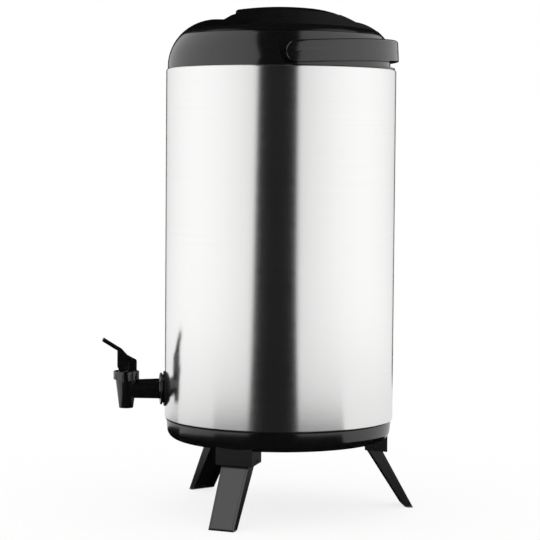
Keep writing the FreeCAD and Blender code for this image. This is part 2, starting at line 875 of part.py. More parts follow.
def valve():
    bulb_level = "seat_level + bulb_lift"
    rim = "tap_neck_radius - cup_rim_inset"
    rim_top = "neck_top + cup_rim_thickness"
    throat = "stem_radius + cup_throat_fit"
    corners = [
        ("0", "seat_level + cup_seat_gap"),
        ("cup_nose_radius - cup_nose_inset", "seat_level + cup_seat_gap"),
        ("cup_nose_radius", "seat_level + cup_nose_rise"),
        ("cup_nose_radius", "tap_level + cup_nose_level"),
        ("cup_bell_radius", "tap_level + cup_bell_level"),
        ("cup_bell_radius", "neck_top"),
        (rim, "neck_top"),
        (rim, rim_top),
        ("cup_bell_radius - cup_wall", rim_top),
        ("cup_bell_radius - cup_wall", "tap_level + cup_bell_level + cup_wall"),
        (throat, "tap_level + cup_throat_level"),
        (throat, f"{bulb_level} + bulb_height"),
        ("bulb_radius", f"{bulb_level} + bulb_height"),
        ("bulb_radius", bulb_level),
        ("0", bulb_level),
    ]
    node(revolve("cup_bell", corners, "spout_y"), "seat_cup")
    rod = [
        cylinder("stem_bulb", "bulb_radius", "bulb_height", ("0", "spout_y", bulb_level)),
        cylinder("stem_rod", "stem_radius", f"pin_level - ({bulb_level})", ("0", "spout_y", bulb_level)),
        cylinder(
            "stem_eye",
            "eye_radius",
            "2 * eye_half_width",
            ("-eye_half_width", "spout_y", "pin_level"),
            "x",
        ),
    ]
    width = "2 * (eye_half_width + overshoot)"
    bore = cylinder(
        "eye_bore", "lever_pin_radius + pin_running_fit", width,
        ("-eye_half_width - overshoot", "spout_y", "pin_level"), "x",
    )
    node(cut("stem_bored", fuse("stem_blank", rod), [bore]), "tap_stem")


def lever():
    def at_pin(y, z):
        return (f"spout_y + ({y})", f"pin_level + ({z})")

    rise = "(paddle_tip_z - paddle_root_z)"
    run = "(paddle_tip_y - paddle_root_y)"
    slant = f"sqrt({rise}^2 + {run}^2)"
    tip_y = f"-paddle_tip_y - paddle_thickness * {rise} / {slant}"
    tip_z = f"paddle_tip_z - paddle_thickness * {run} / {slant}"
    front_y = "-cam_forward - cam_radius"
    front_z = f"({tip_z}) - (({front_y}) - ({tip_y})) * {rise} / {run}"
    side = [
        at_pin("lever_back", "-lever_back_bottom"),
        at_pin("lever_back", "lever_back_top"),
        at_pin("lever_kink_y", "lever_kink_z"),
        at_pin("-paddle_root_y", "paddle_root_z"),
        at_pin("-paddle_tip_y", "paddle_tip_z"),
        at_pin(tip_y, tip_z),
        at_pin(front_y, front_z),
        at_pin(front_y, "cam_rise"),
        at_pin("-cam_forward", "cam_rise - cam_radius") + at_pin("-cam_forward", "cam_rise") + (1,),
    ]
    block = pad("lever_block", "YZ_Plane", side, "2 * lever_half_width")
    slot = box(
        "lever_slot",
        ("-lever_slot_half_width", "spout_y - lever_slot_front", "pin_level - cam_radius - overshoot"),
        ("lever_slot_half_width", "spout_y + lever_slot_back", "pin_level + lever_slot_top"),
    )
    at = ("-lever_half_width - overshoot", "spout_y", "pin_level")
    bore = cylinder("lever_bore", "lever_pin_radius", "2 * (lever_half_width + overshoot)", at, "x")
    node(cut("lever_slotted", block, [slot, bore]), "tap_lever")
    at = ("-lever_half_width", "spout_y", "pin_level")
    node(cylinder("lever_axle", "lever_pin_radius", "2 * lever_half_width", at, "x"), "lever_pin")


# Collar with its thread lugs, its gasket, and the bail that turns in its recess


def lugs(name, outer, inner, level, lead_angle):
    # Short pieces of a four-start thread, each a flat ring segment tilted to the thread's slope
    pieces = []
    for index in range(int(value("lug_count"))):
        sector = doc.addObject("Part::Cylinder", f"{name}_sector_{index}")
        bind(sector, Radius=outer, Height="lug_height", Angle="lug_span")
        core = cylinder(f"{name}_core_{index}", inner, "3 * lug_height", ("0", "0", "-lug_height"))
        turn = "placement(vector(0; 0; -lug_height / 2); rotation(vector(0; 0; 1); -lug_span / 2))"
        sector.setExpression("Placement", full(turn))
        segment = cut(f"{name}_{index}", sector, [core])
        spin = f"rotation(vector(0; 0; 1); {lead_angle} + {index} * 360 / lug_count)"
        slope = f"atan(lug_lead / (2 * pi * ({outer})))"
        tilt = f"rotation(vector(1; 0; 0); {slope})"
        place = f"placement(vector(0; 0; {level}); {spin}) * placement(vector(0; 0; 0); {tilt})"
        segment.setExpression("Placement", full(place))
        pieces.append(segment)
    return pieces


def collar():
    under = "rebate_level - collar_wall"
    inner_arc = "(crown_arc - collar_wall)"
    under_radius = f"crown_center + sqrt({inner_arc}^2 - ({under} - arc_level)^2)"
    backing_level = f"arc_level + sqrt({inner_arc}^2 - (backing_radius - crown_center)^2)"
    ledge = "backing_radius - ledge_clearance"
    step = "flange_radius + pot_rim_fit"
    corners = [
        ("collar_radius", "shell_top"),
        ("collar_radius", "arc_level"),
        ("seam_radius", "seam_level", "crown_center", "arc_level", 1),
        ("rebate_radius", "seam_level"),
        ("rebate_radius", "rebate_level"),
        ("neck_radius", "rebate_level"),
        ("neck_radius", "gasket_top"),
        (ledge, "gasket_top"),
        (ledge, "gasket_top + ledge_thickness"),
        ("neck_radius + collar_wall", "gasket_top + ledge_thickness"),
        ("neck_radius + collar_wall", under),
        (under_radius, under),
        ("backing_radius", backing_level, "crown_center", "arc_level", -1),
        ("backing_radius", "rim_level"),
        (step, "rim_level"),
        (step, "shell_top"),
    ]
    ring_body = revolve("collar_ring", corners)
    lean = "tan(recess_lean)"
    wall_y = "-recess_front * cos(recess_lean)"
    wall_z = "pivot_level - recess_front * sin(recess_lean)"
    floor = "pivot_level - recess_floor"
    far = "shell_radius + carve_reach"
    recess = [
        (far, floor),
        (far, "pivot_level + recess_top"),
        (f"{wall_y} - (recess_top + recess_front * sin(recess_lean)) * {lean}", "pivot_level + recess_top"),
        (wall_y, wall_z),
        ("-sqrt(recess_front^2 - recess_floor^2)", floor, "0", "pivot_level", 1),
    ]
    slab = pad("recess_slab", "YZ_Plane", recess, "3 * shell_radius")
    at = ("0", "0", "shell_top - carve_reach")
    core = cylinder("recess_core", "recess_radius", "2 * (recess_top + carve_reach)", at)
    recess_tool = cut("recess_tool", slab, [core])
    width = "2 * shell_radius"
    pivots = cylinder(
        "collar_pivot_bore",
        "bail_screw_radius + bail_bore_fit",
        width,
        (f"-({width}) / 2", "0", "pivot_level"),
        "x",
    )
    at = ("0", "0", "shell_top")
    neck_inside = cylinder("collar_pivot_core", "backing_radius - collar_wall", "2 * pivot_height", at)
    pivot_tool = cut("collar_pivot_tool", pivots, [neck_inside])
    carved = cut("collar_carved", ring_body, [recess_tool, pivot_tool])
    level = "lug_level + shell_top + lug_height + lug_gap + lug_lead * lug_overlap / 360"
    female = lugs("neck_lug", "neck_radius + overshoot", "neck_radius - lug_depth", level, "lug_overlap")
    node(fuse("collar_lugged", [carved] + female), "collar")
    inner = "pot_radius + gasket_inset"
    gasket = ring("gasket", f"{inner} + gasket_width", inner, "gasket_thickness", ("0", "0", "rim_level"))
    node(gasket, "neck_gasket")


def tilted(item):
    place = "placement(vector(0; 0; pivot_level); rotation(vector(1; 0; 0); bail_tilt))"
    item.setExpression("Placement", full(place))
    return item


def bail():
    half = "bail_half_height"
    bend = "bail_outer - bail_edge"
    corners = [
        ("bail_inner", f"-{half}"),
        ("bail_outer", f"-{half}"),
        ("bail_outer", f"{half} - bail_edge"),
        (bend, half, bend, f"{half} - bail_edge", 1),
        ("bail_inner", half),
    ]
    hoop = revolve("bail_hoop", corners)
    wide = "shell_radius + carve_reach"
    back = box(
        "bail_back", (f"-({wide})", "0", f"-({half} + overshoot)"), (wide, wide, f"{half} + overshoot"),
    )
    ends = cylinder("bail_ends", half, f"2 * ({wide})", (f"-({wide})", "0", "0"), "x")
    half_hoop = common("bail_half", [hoop, fuse("bail_keep", [back, ends])])
    # The bore is blind: a skin of the handle closes it outside
    bore_end = "bail_outer - bail_skin"
    bore_start = (f"-({bore_end})", "0", "0")
    bore = cylinder("bail_bore", "bail_screw_radius", f"2 * ({bore_end})", bore_start, "x")
    node(tilted(cut("bail_bored", half_hoop, [bore])), "bail_handle")
    screws = []
    washers = []
    head_start = "backing_radius - bail_head_gap - bail_head_height"
    shank = f"{bore_end} - bail_screw_gap - ({head_start})"
    gap = "(bail_clearance - bail_washer_thickness) / 2"
    washer_start = f"recess_radius + {gap}"
    for mark, sign in (("right", ""), ("left", "-")):
        def from_axis(start, length):
            return (start if sign == "" else f"-({start}) - ({length})", "0", "0")

        head = cylinder(
            "bail_head_" + mark, "bail_head_radius", "bail_head_height",
            from_axis(head_start, "bail_head_height"), "x",
        )
        rod = cylinder("bail_shank_" + mark, "bail_screw_radius", shank, from_axis(head_start, shank), "x")
        screws.append(fuse("bail_screw_" + mark, [head, rod]))
        thick = "bail_washer_thickness"
        washers.append(
            ring(
                "bail_washer_" + mark, "bail_washer_radius", "bail_washer_bore", thick,
                from_axis(washer_start, thick), "x",
            )
        )
    node(tilted(group("bail_screw_pair", screws)), "bail_screws")
    node(tilted(group("bail_washer_pair", washers)), "bail_washers")


# Lid: cover with its grip and finger scoops, plug, foam, seal and vent


def grip_outline(drop):
    # The grip's side outline, with its top lowered by the bevel's drop
    base_level = "lid_top - grip_root_depth"
    crown_z = "(lid_top + grip_crown_z - grip_crown_arc)"

    def crown(y):
        return f"{crown_z} + sqrt(grip_crown_arc^2 - (({y}) - grip_crown_y)^2)"

    bend_z = f"({crown('grip_bend_y')})"
    # The tail arc is tangent to the crown arc at the bend
    share = "(grip_tail_arc / grip_crown_arc)"
    tail_y = f"(grip_bend_y - (grip_bend_y - grip_crown_y) * {share})"
    tail_center_z = f"({bend_z} - ({bend_z} - {crown_z}) * {share})"
    tail_z = f"{tail_center_z} + sqrt(grip_tail_arc^2 - (grip_tail_y - {tail_y})^2)"
    middle_y = "((grip_bend_y + grip_tail_y) / 2)"
    middle_z = f"{tail_center_z} + sqrt(grip_tail_arc^2 - ({middle_y} - {tail_y})^2) - {drop} / 2"
    tail_turn = (tail_y, tail_center_z, -1) if drop == "0" else ()
    return [
        ("-grip_foot_y - grip_root_spread", base_level),
        ("-grip_foot_y", "lid_top"),
        ("-grip_shoulder_y", "lid_top + grip_shoulder_z"),
        ("-grip_nose_y", "lid_top + grip_nose_z"),
        ("-grip_nose_y", f"{crown('-grip_nose_y')} - {drop}"),
        ("grip_bend_y", f"{bend_z} - {drop}", "grip_crown_y", f"{crown_z} - {drop}", -1),
        (middle_y, middle_z) + tail_turn,
        ("grip_tail_y", tail_z) + tail_turn,
        ("grip_tail_y + grip_root_spread", base_level),
    ]


def lid_cover():
    def dome(name, wall, drop):
        arc = f"(crown_arc - {wall})"
        edge = f"crown_center + sqrt({arc}^2 - (lid_bottom - arc_level)^2)"
        corners = [
            ("0", f"lid_bottom - {drop}"),
            (edge, f"lid_bottom - {drop}"),
            (edge, "lid_bottom"),
            ("crown_center", f"arc_level + {arc}", "crown_center", "arc_level", 1),
            ("0", f"arc_level + {arc}"),
        ]
        if drop == "0":
            del corners[2]
        return revolve(name, corners)

    def scoops(name, growth):
        tools = []
        for mark, sign in (("right", ""), ("left", "-")):
            bowl = doc.addObject("Part::Ellipsoid", f"{name}_bowl_{mark}")
            bind(bowl, Radius1=f"scoop_depth + {growth}", Radius2=f"scoop_half_width + {growth}")
            bind(bowl, Radius3=f"scoop_half_length + {growth}")
            put(bowl, (f"{sign}scoop_center_x", "scoop_center_y", "scoop_level"))
            half = f"(grip_half_width - {growth})"
            far = "2 * shell_radius"
            low = ("-4 * shell_radius" if sign == "" else f"-{half}", "-4 * shell_radius", "shell_top")
            high = (half if sign == "" else "4 * shell_radius", "4 * shell_radius", f"shell_top + {far}")
            tools.append(cut(f"{name}_{mark}", bowl, [box(f"{name}_keep_{mark}", low, high)]))
        return tools

    bar = doc.addObject("PartDesign::Body", "grip_bar")
    full_top = grip_outline("0")
    low_top = grip_outline("grip_bevel_drop")
    flat = "(grip_half_width - grip_bevel_width)"
    sections = [
        draw(bar, "YZ_Plane", low_top, "-grip_half_width"),
        draw(bar, "YZ_Plane", full_top, f"-{flat}"),
        draw(bar, "YZ_Plane", full_top, flat),
        draw(bar, "YZ_Plane", low_top, "grip_half_width"),
    ]
    loft = bar.newObject("PartDesign::AdditiveLoft", "grip_loft")
    loft.Profile = sections[0]
    loft.Sections = sections[1:]
    loft.Ruled = True
    outside = cut(
        "lid_outside", fuse("lid_blank", [dome("lid_dome", "0", "0"), bar]), scoops("scoop", "0")
    )
    inner_bar = pad(
        "grip_hollow", "YZ_Plane",
        [
            ("-grip_shoulder_y", "lid_top - grip_hollow_depth"),
            ("-grip_shoulder_y", "lid_top"),
            ("-grip_nose_y + lid_wall", "lid_top + grip_nose_z - lid_wall"),
            ("0", "lid_top + grip_crown_z - 2 * lid_wall"),
            ("grip_bend_y", "lid_top + grip_crown_z - 2 * lid_wall - grip_back_skin"),
            ("grip_tail_y - 4 * lid_wall", "lid_top - grip_tail_skin"),
            ("grip_tail_y - 4 * lid_wall", "lid_top - grip_hollow_depth"),
        ],
        "2 * (grip_half_width - lid_wall)",
    )
    hollow = cut(
        "lid_hollow",
        fuse("lid_core", [dome("lid_inner_dome", "lid_wall", "overshoot"), inner_bar]),
        scoops("scoop_skin", "lid_wall"),
    )
    length = "lid_top + grip_crown_z - shell_top"
    hole = cylinder("cover_vent_hole", "vent_tube_radius", length, ("-vent_offset", "0", "shell_top"))
    node(cut("lid_shell", outside, [hollow, hole]), "lid_cover")


def lid_plug():
    wall = "plug_wall"
    flange_top = "lid_bottom + plug_flange_thickness"
    inner_arc = "(crown_arc - lid_wall)"
    flange = f"crown_center + sqrt({inner_arc}^2 - ({flange_top} - arc_level)^2) - plug_flange_fit"
    bend = "skirt_radius - plug_corner"
    bend_level = "plug_bottom + plug_corner"
    corners = [
        ("0", "plug_bottom"),
        (bend, "plug_bottom"),
        ("skirt_radius", bend_level, bend, bend_level, 1),
        ("skirt_radius", "lid_bottom"),
        (flange, "lid_bottom"),
        (flange, flange_top),
        (f"skirt_radius - {wall}", flange_top),
        (f"skirt_radius - {wall}", f"plug_bottom + {wall}"),
        ("0", f"plug_bottom + {wall}"),
    ]
    lug_tip = "skirt_radius + lug_depth"
    male = lugs("plug_lug", lug_tip, "skirt_radius - overshoot", "shell_top + lug_level", "0")
    cup = fuse("plug_lugged", [revolve("plug_cup", corners)] + male)
    at = ("-vent_offset", "0", "plug_bottom - overshoot")
    hole = cylinder("plug_vent_hole", "vent_tube_radius", f"{wall} + 2 * overshoot", at)
    node(cut("plug_drilled", cup, [hole]), "lid_plug")
    bottom = f"plug_bottom + {wall} + foam_gap"
    length = f"lid_bottom + lid_foam_top - ({bottom})"
    puck = cylinder("lid_foam_puck", f"skirt_radius - {wall} - foam_gap", length, ("0", "0", bottom))
    way = cylinder(
        "lid_foam_vent", "vent_tube_radius + foam_gap", f"{length} + 2 * overshoot",
        ("-vent_offset", "0", f"{bottom} - overshoot"),
    )
    node(cut("lid_foam_bored", puck, [way]), "lid_foam")
    inner = "neck_radius + seal_inset"
    thickness = "rebate_depth + lid_gap - 2 * seal_gap"
    seal = ring("seal", "rebate_radius - seal_rim", inner, thickness, ("0", "0", "rebate_level + seal_gap"))
    node(seal, "lid_seal")


def vent():
    top = "lid_bottom + vent_tube_top"
    length = f"{top} - plug_bottom"
    at = ("-vent_offset", "0", "plug_bottom")
    tube = ring("vent_pipe", "vent_tube_radius", "vent_bore_radius", length, at)
    node(tube, "vent_tube")
    at = ("-vent_offset", "0", f"{top} + vent_plug_gap")
    head = cylinder("vent_head", "vent_tube_radius", "vent_plug_head", at)
    at = ("-vent_offset", "0", f"{top} + vent_plug_gap - vent_plug_length")
    stem = cylinder("vent_stem", "vent_plug_radius", "vent_plug_length + overshoot", at)
    node(fuse("vent_stopper", [head, stem]), "vent_plug")


# The whole dispenser

outer_shell()
inner_liner()
wall_foam()
base()
foam_plug()
bracket_screws()
for place in ("right", "left", "back"):
    leg_bracket(place)
    leg_pin(place)
    leg(place)
tap_body()
tap_washers()
tap_bonnet()
valve()
lever()
collar()
bail()
lid_cover()
lid_plug()
vent()
doc.recompute()

faults = [item.Name for item in doc.Objects if {"Invalid", "Error"} & set(item.State)]
for item in nodes:
    shape = item.Shape
    if shape.isNull() or not shape.isValid() or not shape.Solids:
        faults.append(item.Label)
if faults:
    raise SystemExit("These objects failed: " + ", ".join(faults))
for item in nodes:
    item.Shape.exportStep(f"parts/{item.Label}.step")
print(len(nodes), "nodes written")
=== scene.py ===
import bmesh
import bpy
import math
from mathutils import Matrix, Vector


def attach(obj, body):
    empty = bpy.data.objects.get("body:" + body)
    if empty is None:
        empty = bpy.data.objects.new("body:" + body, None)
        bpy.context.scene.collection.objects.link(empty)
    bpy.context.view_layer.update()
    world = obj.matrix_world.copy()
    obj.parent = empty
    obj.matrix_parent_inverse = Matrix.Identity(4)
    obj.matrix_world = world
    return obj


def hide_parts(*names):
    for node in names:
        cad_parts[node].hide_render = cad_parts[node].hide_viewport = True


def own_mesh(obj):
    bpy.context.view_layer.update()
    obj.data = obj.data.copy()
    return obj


# Insulated beverage dispenser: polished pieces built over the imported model.
# The pieces' sizes are in millimetres and degrees, the studio's and the camera's in metres and degrees.

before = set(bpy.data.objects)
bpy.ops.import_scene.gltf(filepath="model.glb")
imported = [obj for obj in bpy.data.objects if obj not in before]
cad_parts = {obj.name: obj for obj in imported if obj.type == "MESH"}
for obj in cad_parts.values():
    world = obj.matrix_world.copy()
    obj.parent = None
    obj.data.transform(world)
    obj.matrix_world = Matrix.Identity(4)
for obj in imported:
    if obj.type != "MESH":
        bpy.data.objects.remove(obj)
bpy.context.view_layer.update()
scene = bpy.context.scene
mm = 0.001

# How far a cutting shape runs past a face it cuts, and past the whole dispenser, in millimetres
spare = 1
through = 150

# Points closer than this are one point, in metres
weldOutline = 1e-7
weldCut = 1e-6


# Shader maths: a socket that Python sums can be written on, and one call for any other node

class Signal:
    def __init__(self, paint, socket):
        self.paint = paint
        self.socket = socket

    def sum(self, operation, first, second):
        return self.paint.node("ShaderNodeMath", {"operation": operation}, {0: first, 1: second})

    def __add__(self, other):
        return self.sum("ADD", self, other)

    def __radd__(self, other):
        return self.sum("ADD", other, self)

    def __sub__(self, other):
        return self.sum("SUBTRACT", self, other)

    def __rsub__(self, other):
        return self.sum("SUBTRACT", other, self)

    def __mul__(self, other):
        return self.sum("MULTIPLY", self, other)


class Paint:
    def __init__(self, name, world=None):
        self.material = world or bpy.data.materials.new(name)
        self.material.use_nodes = True
        self.tree = self.material.node_tree
        self.shader = self.tree.nodes["Background" if world else "Principled BSDF"]
        self.output = self.tree.nodes["World Output" if world else "Material Output"]

    def node(self, kind, settings=None, inputs=None, output=0):
        made = self.tree.nodes.new(kind)
        for key, setting in (settings or {}).items():
            setattr(made, key, setting)
        for key, given in (inputs or {}).items():
            self.feed(made.inputs[key], given)
        return Signal(self, made.outputs[output])

    def feed(self, socket, given):
        if isinstance(given, Signal):
            self.tree.links.new(given.socket, socket)
        else:
            socket.default_value = given

    def set(self, **given):
        for key, value in given.items():
            self.feed(self.shader.inputs[key.replace("_", " ")], value)

    def noise(self, scale, detail, roughness):
        # Soft noise whose grain is the reciprocal of scale, in metres, along each axis
        spot = self.node("ShaderNodeTexCoord", output="Object")
        place = self.node("ShaderNodeMapping", {}, {"Vector": spot, "Scale": scale})
        inputs = {"Vector": place, "Scale": 1.0, "Detail": detail, "Roughness": roughness}
        return self.node("ShaderNodeTexNoise", {}, inputs)

    def vary(self, middle, *swings):
        # A value that each noise, which runs from 0 to 1, swings about its middle
        for noise, swing in swings:
            middle = middle + (noise - 0.5) * swing
        return middle

    def mix(self, share, first, second):
        settings = {"data_type": "RGBA"}
        return self.node("ShaderNodeMix", settings, {0: share, 6: (*first, 1), 7: (*second, 1)}, 2)

    def bump(self, height, depth):
        return self.node("ShaderNodeBump", {}, {"Height": height, "Distance": depth, "Strength": 1.0})


# Finishes. Noises are written as (scale, detail, roughness), and relief is a depth in metres

brushedSteel = {
    "light": (0.995, 0.993, 0.988),
    "dark": (0.925, 0.923, 0.918),
    "grain": ((6, 6, 1300), 2, 0.6),
    "streaks": ((3, 3, 240), 4, 0.7),
    "handling": ((14, 14, 9), 3, 0.5),
    "grainShare": 0.6,
    "roughness": 0.2, "grainSwing": 0.08, "streakSwing": 0.05, "handlingSwing": 0.04,
    "anisotropy": 0.65, "turn": 0.25,
    "grainRelief": 0.7, "relief": 0.00002,
}


def makeSteel(name, look):
    # Rolled sheet, brushed round the barrel, with a trace of handling
    paint = Paint(name)
    grain, streaks, handling = [paint.noise(*look[key]) for key in ("grain", "streaks", "handling")]
    share, relief = look["grainShare"], look["grainRelief"]
    paint.set(
        Base_Color=paint.mix(grain * share + streaks * (1 - share), look["dark"], look["light"]),
        Metallic=1.0,
        Roughness=paint.vary(
            look["roughness"], (grain, look["grainSwing"]), (streaks, look["streakSwing"]),
            (handling, look["handlingSwing"]),
        ),
        Anisotropic=look["anisotropy"],
        Anisotropic_Rotation=look["turn"],
        Normal=paint.bump(grain * relief + streaks * (1 - relief), look["relief"]),
    )
    return paint.material


glossPlastic = {
    "colour": (0.0025, 0.0025, 0.0027),
    "worn": (0.006, 0.006, 0.0062),
    "ripple": ((34, 34, 34), 2, 0.4),
    "wipes": ((420, 60, 420), 4, 0.65),
    "dust": ((1500, 1500, 1500), 1, 0.5),
    "wipeWear": 0.6, "dustWear": 0.3,
    "roughness": 0.135, "wipeSwing": 0.09, "rippleSwing": 0.04, "ior": 1.75,
    "dustRelief": 0.02, "relief": 0.00006,
}


def makeGloss(name, look):
    # Glossy moulding: a slow ripple in the surface, fine wipe marks, a little dust
    paint = Paint(name)
    ripple, wipes, dust = [paint.noise(*look[key]) for key in ("ripple", "wipes", "dust")]
    wear = wipes * look["wipeWear"] + dust * look["dustWear"]
    paint.set(
        Base_Color=paint.mix(wear, look["colour"], look["worn"]),
        Roughness=paint.vary(look["roughness"], (wipes, look["wipeSwing"]), (ripple, look["rippleSwing"])),
        IOR=look["ior"],
        Normal=paint.bump(ripple + dust * look["dustRelief"], look["relief"]),
    )
    return paint.material


satinPlastic = {
    "colour": (0.003, 0.003, 0.0032),
    "worn": (0.007, 0.007, 0.0072),
    "texture": ((1900, 1900, 1900), 3, 0.6),
    "patches": ((45, 45, 45), 4, 0.6),
    "textureWear": 0.4, "patchWear": 0.5,
    "roughness": 0.35, "textureSwing": 0.12, "patchSwing": 0.1, "ior": 1.6, "relief": 0.00003,
}


def makeSatin(name, look):
    # Spark-eroded mould texture with lighter rubbed patches
    paint = Paint(name)
    texture, patches = [paint.noise(*look[key]) for key in ("texture", "patches")]
    wear = texture * look["textureWear"] + patches * look["patchWear"]
    paint.set(
        Base_Color=paint.mix(wear, look["colour"], look["worn"]),
        Roughness=paint.vary(
            look["roughness"], (texture, look["textureSwing"]), (patches, look["patchSwing"]),
        ),
        IOR=look["ior"],
        Normal=paint.bump(texture, look["relief"]),
    )
    return paint.material


plainLook = {"cloud": ((60, 60, 60), 3, 0.5), "speckShare": 0.5, "speckSwing": 0.1, "cloudSwing": 0.06}


def makePlain(name, colour, second, roughness, grain, relief, metallic=0.0):
    # One colour that drifts to a second in specks and soft clouds
    paint = Paint(name)
    speck = paint.noise((grain, grain, grain), 3, 0.6)
    cloud = paint.noise(*plainLook["cloud"])
    share = plainLook["speckShare"]
    paint.set(
        Base_Color=paint.mix(speck * share + cloud * (1 - share), colour, second),
        Metallic=metallic,
        Roughness=paint.vary(roughness, (speck, plainLook["speckSwing"]), (cloud, plainLook["cloudSwing"])),
        Normal=paint.bump(speck, relief),
    )
    return paint.material


def grey(level):
    return (level, level, level)


barrelSteel = makeSteel("barrelSteel", brushedSteel)
potSteel = makeSteel("potSteel", {
    **brushedSteel, "roughness": 0.33, "anisotropy": 0.4, "grain": ((6, 6, 1400), 2, 0.6),
})
glossBlack = makeGloss("glossBlack", glossPlastic)
lidBlack = makeGloss("lidBlack", {**glossPlastic, "ior": 1.36})
satinBlack = makeSatin("satinBlack", satinPlastic)
legBlack = makeSatin("legBlack", {**satinPlastic, "roughness": 0.31, "ior": 1.95})
bracketBlack = makeSatin("bracketBlack", {**satinPlastic, "ior": 1.35})
rubberBlack = makePlain("rubberBlack", grey(0.004), grey(0.009), roughness=0.36, grain=900, relief=0.00002)
milkySilicone = makePlain(
    "milkySilicone", (0.72, 0.72, 0.70), (0.80, 0.80, 0.78), roughness=0.42, grain=500, relief=0.00001,
)
rawFoam = makePlain(
    "rawFoam", (0.78, 0.66, 0.38), (0.85, 0.76, 0.5), roughness=0.85, grain=1100, relief=0.0002,
)
pinSteel = makePlain(
    "pinSteel", (0.035, 0.035, 0.037), (0.06, 0.06, 0.062), roughness=0.32, grain=1200, relief=0.000004,
    metallic=1.0,
)
screwSteel = makePlain(
    "screwSteel", (0.55, 0.55, 0.56), (0.66, 0.66, 0.67), roughness=0.32, grain=900, relief=0.000006,
    metallic=1.0,
)
whiteNylon = makePlain(
    "whiteNylon", (0.74, 0.74, 0.72), (0.80, 0.80, 0.78), roughness=0.45, grain=800, relief=0.00001,
)
print("finishes ready")


# Drawing: outlines are lists of moves on a plane, each in millimetres
#   (a, b)                    a straight run to a point
#   (a, b, radius)            the same, with that corner rounded
#   ("arc", a, b, degrees)    an arc about the centre a, b, to the left if positive

planeNormals = {"XZ": (0, -1, 0), "YZ": (1, 0, 0)}


def spot(plane, a, b):
    return {"XZ": (a * mm, 0, b * mm), "YZ": (0, a * mm, b * mm)}[plane]


def drawOutline(plane, moves, arcStep=3.0):
    bm = bmesh.new()
    pen = None
    corners = []
    for move in moves:
        if move[0] == "arc":
            turn = bmesh.ops.spin(
                bm, geom=[pen], cent=spot(plane, move[1], move[2]), axis=planeNormals[plane],
                dvec=(0, 0, 0), angle=math.radians(move[3]), steps=max(3, round(abs(move[3]) / arcStep)),
                use_duplicate=False,
            )
            pen = turn["geom_last"][0]
            continue
        point = bm.verts.new(spot(plane, *move[:2]))
        if pen:
            bm.edges.new((pen, point))
        pen = point
        if len(move) == 3:
            corners.append((point, move[2]))
    bm.verts.ensure_lookup_table()
    bm.edges.new((pen, bm.verts[0]))
    for point, radius in corners:
        bmesh.ops.bevel(
            bm, geom=[point], offset=radius * mm, offset_type="OFFSET", segments=6, profile=0.5,
            affect="VERTICES", material=-1,
        )
    return bm


def rotate(bm, degrees, axis):
    matrix = Matrix.Rotation(math.radians(degrees), 3, axis)
    bmesh.ops.rotate(bm, verts=bm.verts, cent=(0, 0, 0), matrix=matrix)


def turnAround(moves, steps, degrees=360, start=0, rise=0, arcStep=3.0):
    # Spins an XZ outline about the Z axis; rise makes it climb like a thread
    bm = drawOutline("XZ", moves, arcStep)
    rotate(bm, start, "Z")
    whole = degrees == 360
    if not whole:
        bmesh.ops.contextual_create(bm, geom=bm.edges[:])
    outline = bm.verts[:] + bm.edges[:] + bm.faces[:]
    bmesh.ops.spin(
        bm, geom=outline, cent=(0, 0, 0), axis=(0, 0, 1), dvec=(0, 0, rise * mm / steps),
        angle=math.radians(degrees), steps=steps, use_merge=whole, use_duplicate=False,
    )
    bmesh.ops.remove_doubles(bm, verts=bm.verts, dist=weldOutline)
    bmesh.ops.recalc_face_normals(bm, faces=bm.faces)
    return bm


def pushOut(plane, moves, width, centre=0, arcStep=3.0):
    # Thickens a flat outline evenly about its plane
    bm = drawOutline(plane, moves, arcStep)
    normal = Vector(planeNormals[plane])
    bmesh.ops.contextual_create(bm, geom=bm.edges[:])
    bmesh.ops.translate(bm, verts=bm.verts, vec=normal * (-width / 2 + centre) * mm)
    grown = bmesh.ops.extrude_face_region(bm, geom=bm.faces[:])
    moved = [item for item in grown["geom"] if isinstance(item, bmesh.types.BMVert)]
    bmesh.ops.translate(bm, verts=moved, vec=normal * width * mm)
    bmesh.ops.recalc_face_normals(bm, faces=bm.faces)
    return bm


def closeUp(bm):
    bmesh.ops.holes_fill(bm, edges=[e for e in bm.edges if len(e.link_faces) == 1], sides=0)
    bmesh.ops.recalc_face_normals(bm, faces=bm.faces)
    return bm


def rod(radius, length, at, along="Z", sides=64):
    bm = bmesh.new()
    bmesh.ops.create_cone(
        bm, cap_ends=True, cap_tris=False, segments=sides, radius1=radius * mm, radius2=radius * mm,
        depth=length * mm,
    )
    bmesh.ops.translate(bm, verts=bm.verts, vec=(0, 0, length / 2 * mm))
    if along == "X":
        rotate(bm, 90, "Y")
    elif along == "Y":
        rotate(bm, -90, "X")
    bmesh.ops.translate(bm, verts=bm.verts, vec=Vector(at) * mm)
    return bm


def block(low, high):
    bm = bmesh.new()
    bmesh.ops.create_cube(bm, size=mm)
    bmesh.ops.scale(bm, verts=bm.verts, vec=Vector(high) - Vector(low))
    bmesh.ops.translate(bm, verts=bm.verts, vec=(Vector(low) + Vector(high)) / 2 * mm)
    return bm


def place(bm, at=(0, 0, 0), tilt=0, aroundX=0, heading=0):
    # Tilts about Y, then about X, moves, and last turns about the barrel's axis
    rotate(bm, tilt, "Y")
    rotate(bm, aroundX, "X")
    bmesh.ops.translate(bm, verts=bm.verts, vec=Vector(at) * mm)
    rotate(bm, heading, "Z")
    return bm


def addObject(name, data):
    item = bpy.data.objects.new(name, data)
    scene.collection.objects.link(item)
    return item


def standIn(bm):
    mesh = bpy.data.meshes.new("workpiece")
    bm.to_mesh(mesh)
    bm.free()
    return addObject("workpiece", mesh)


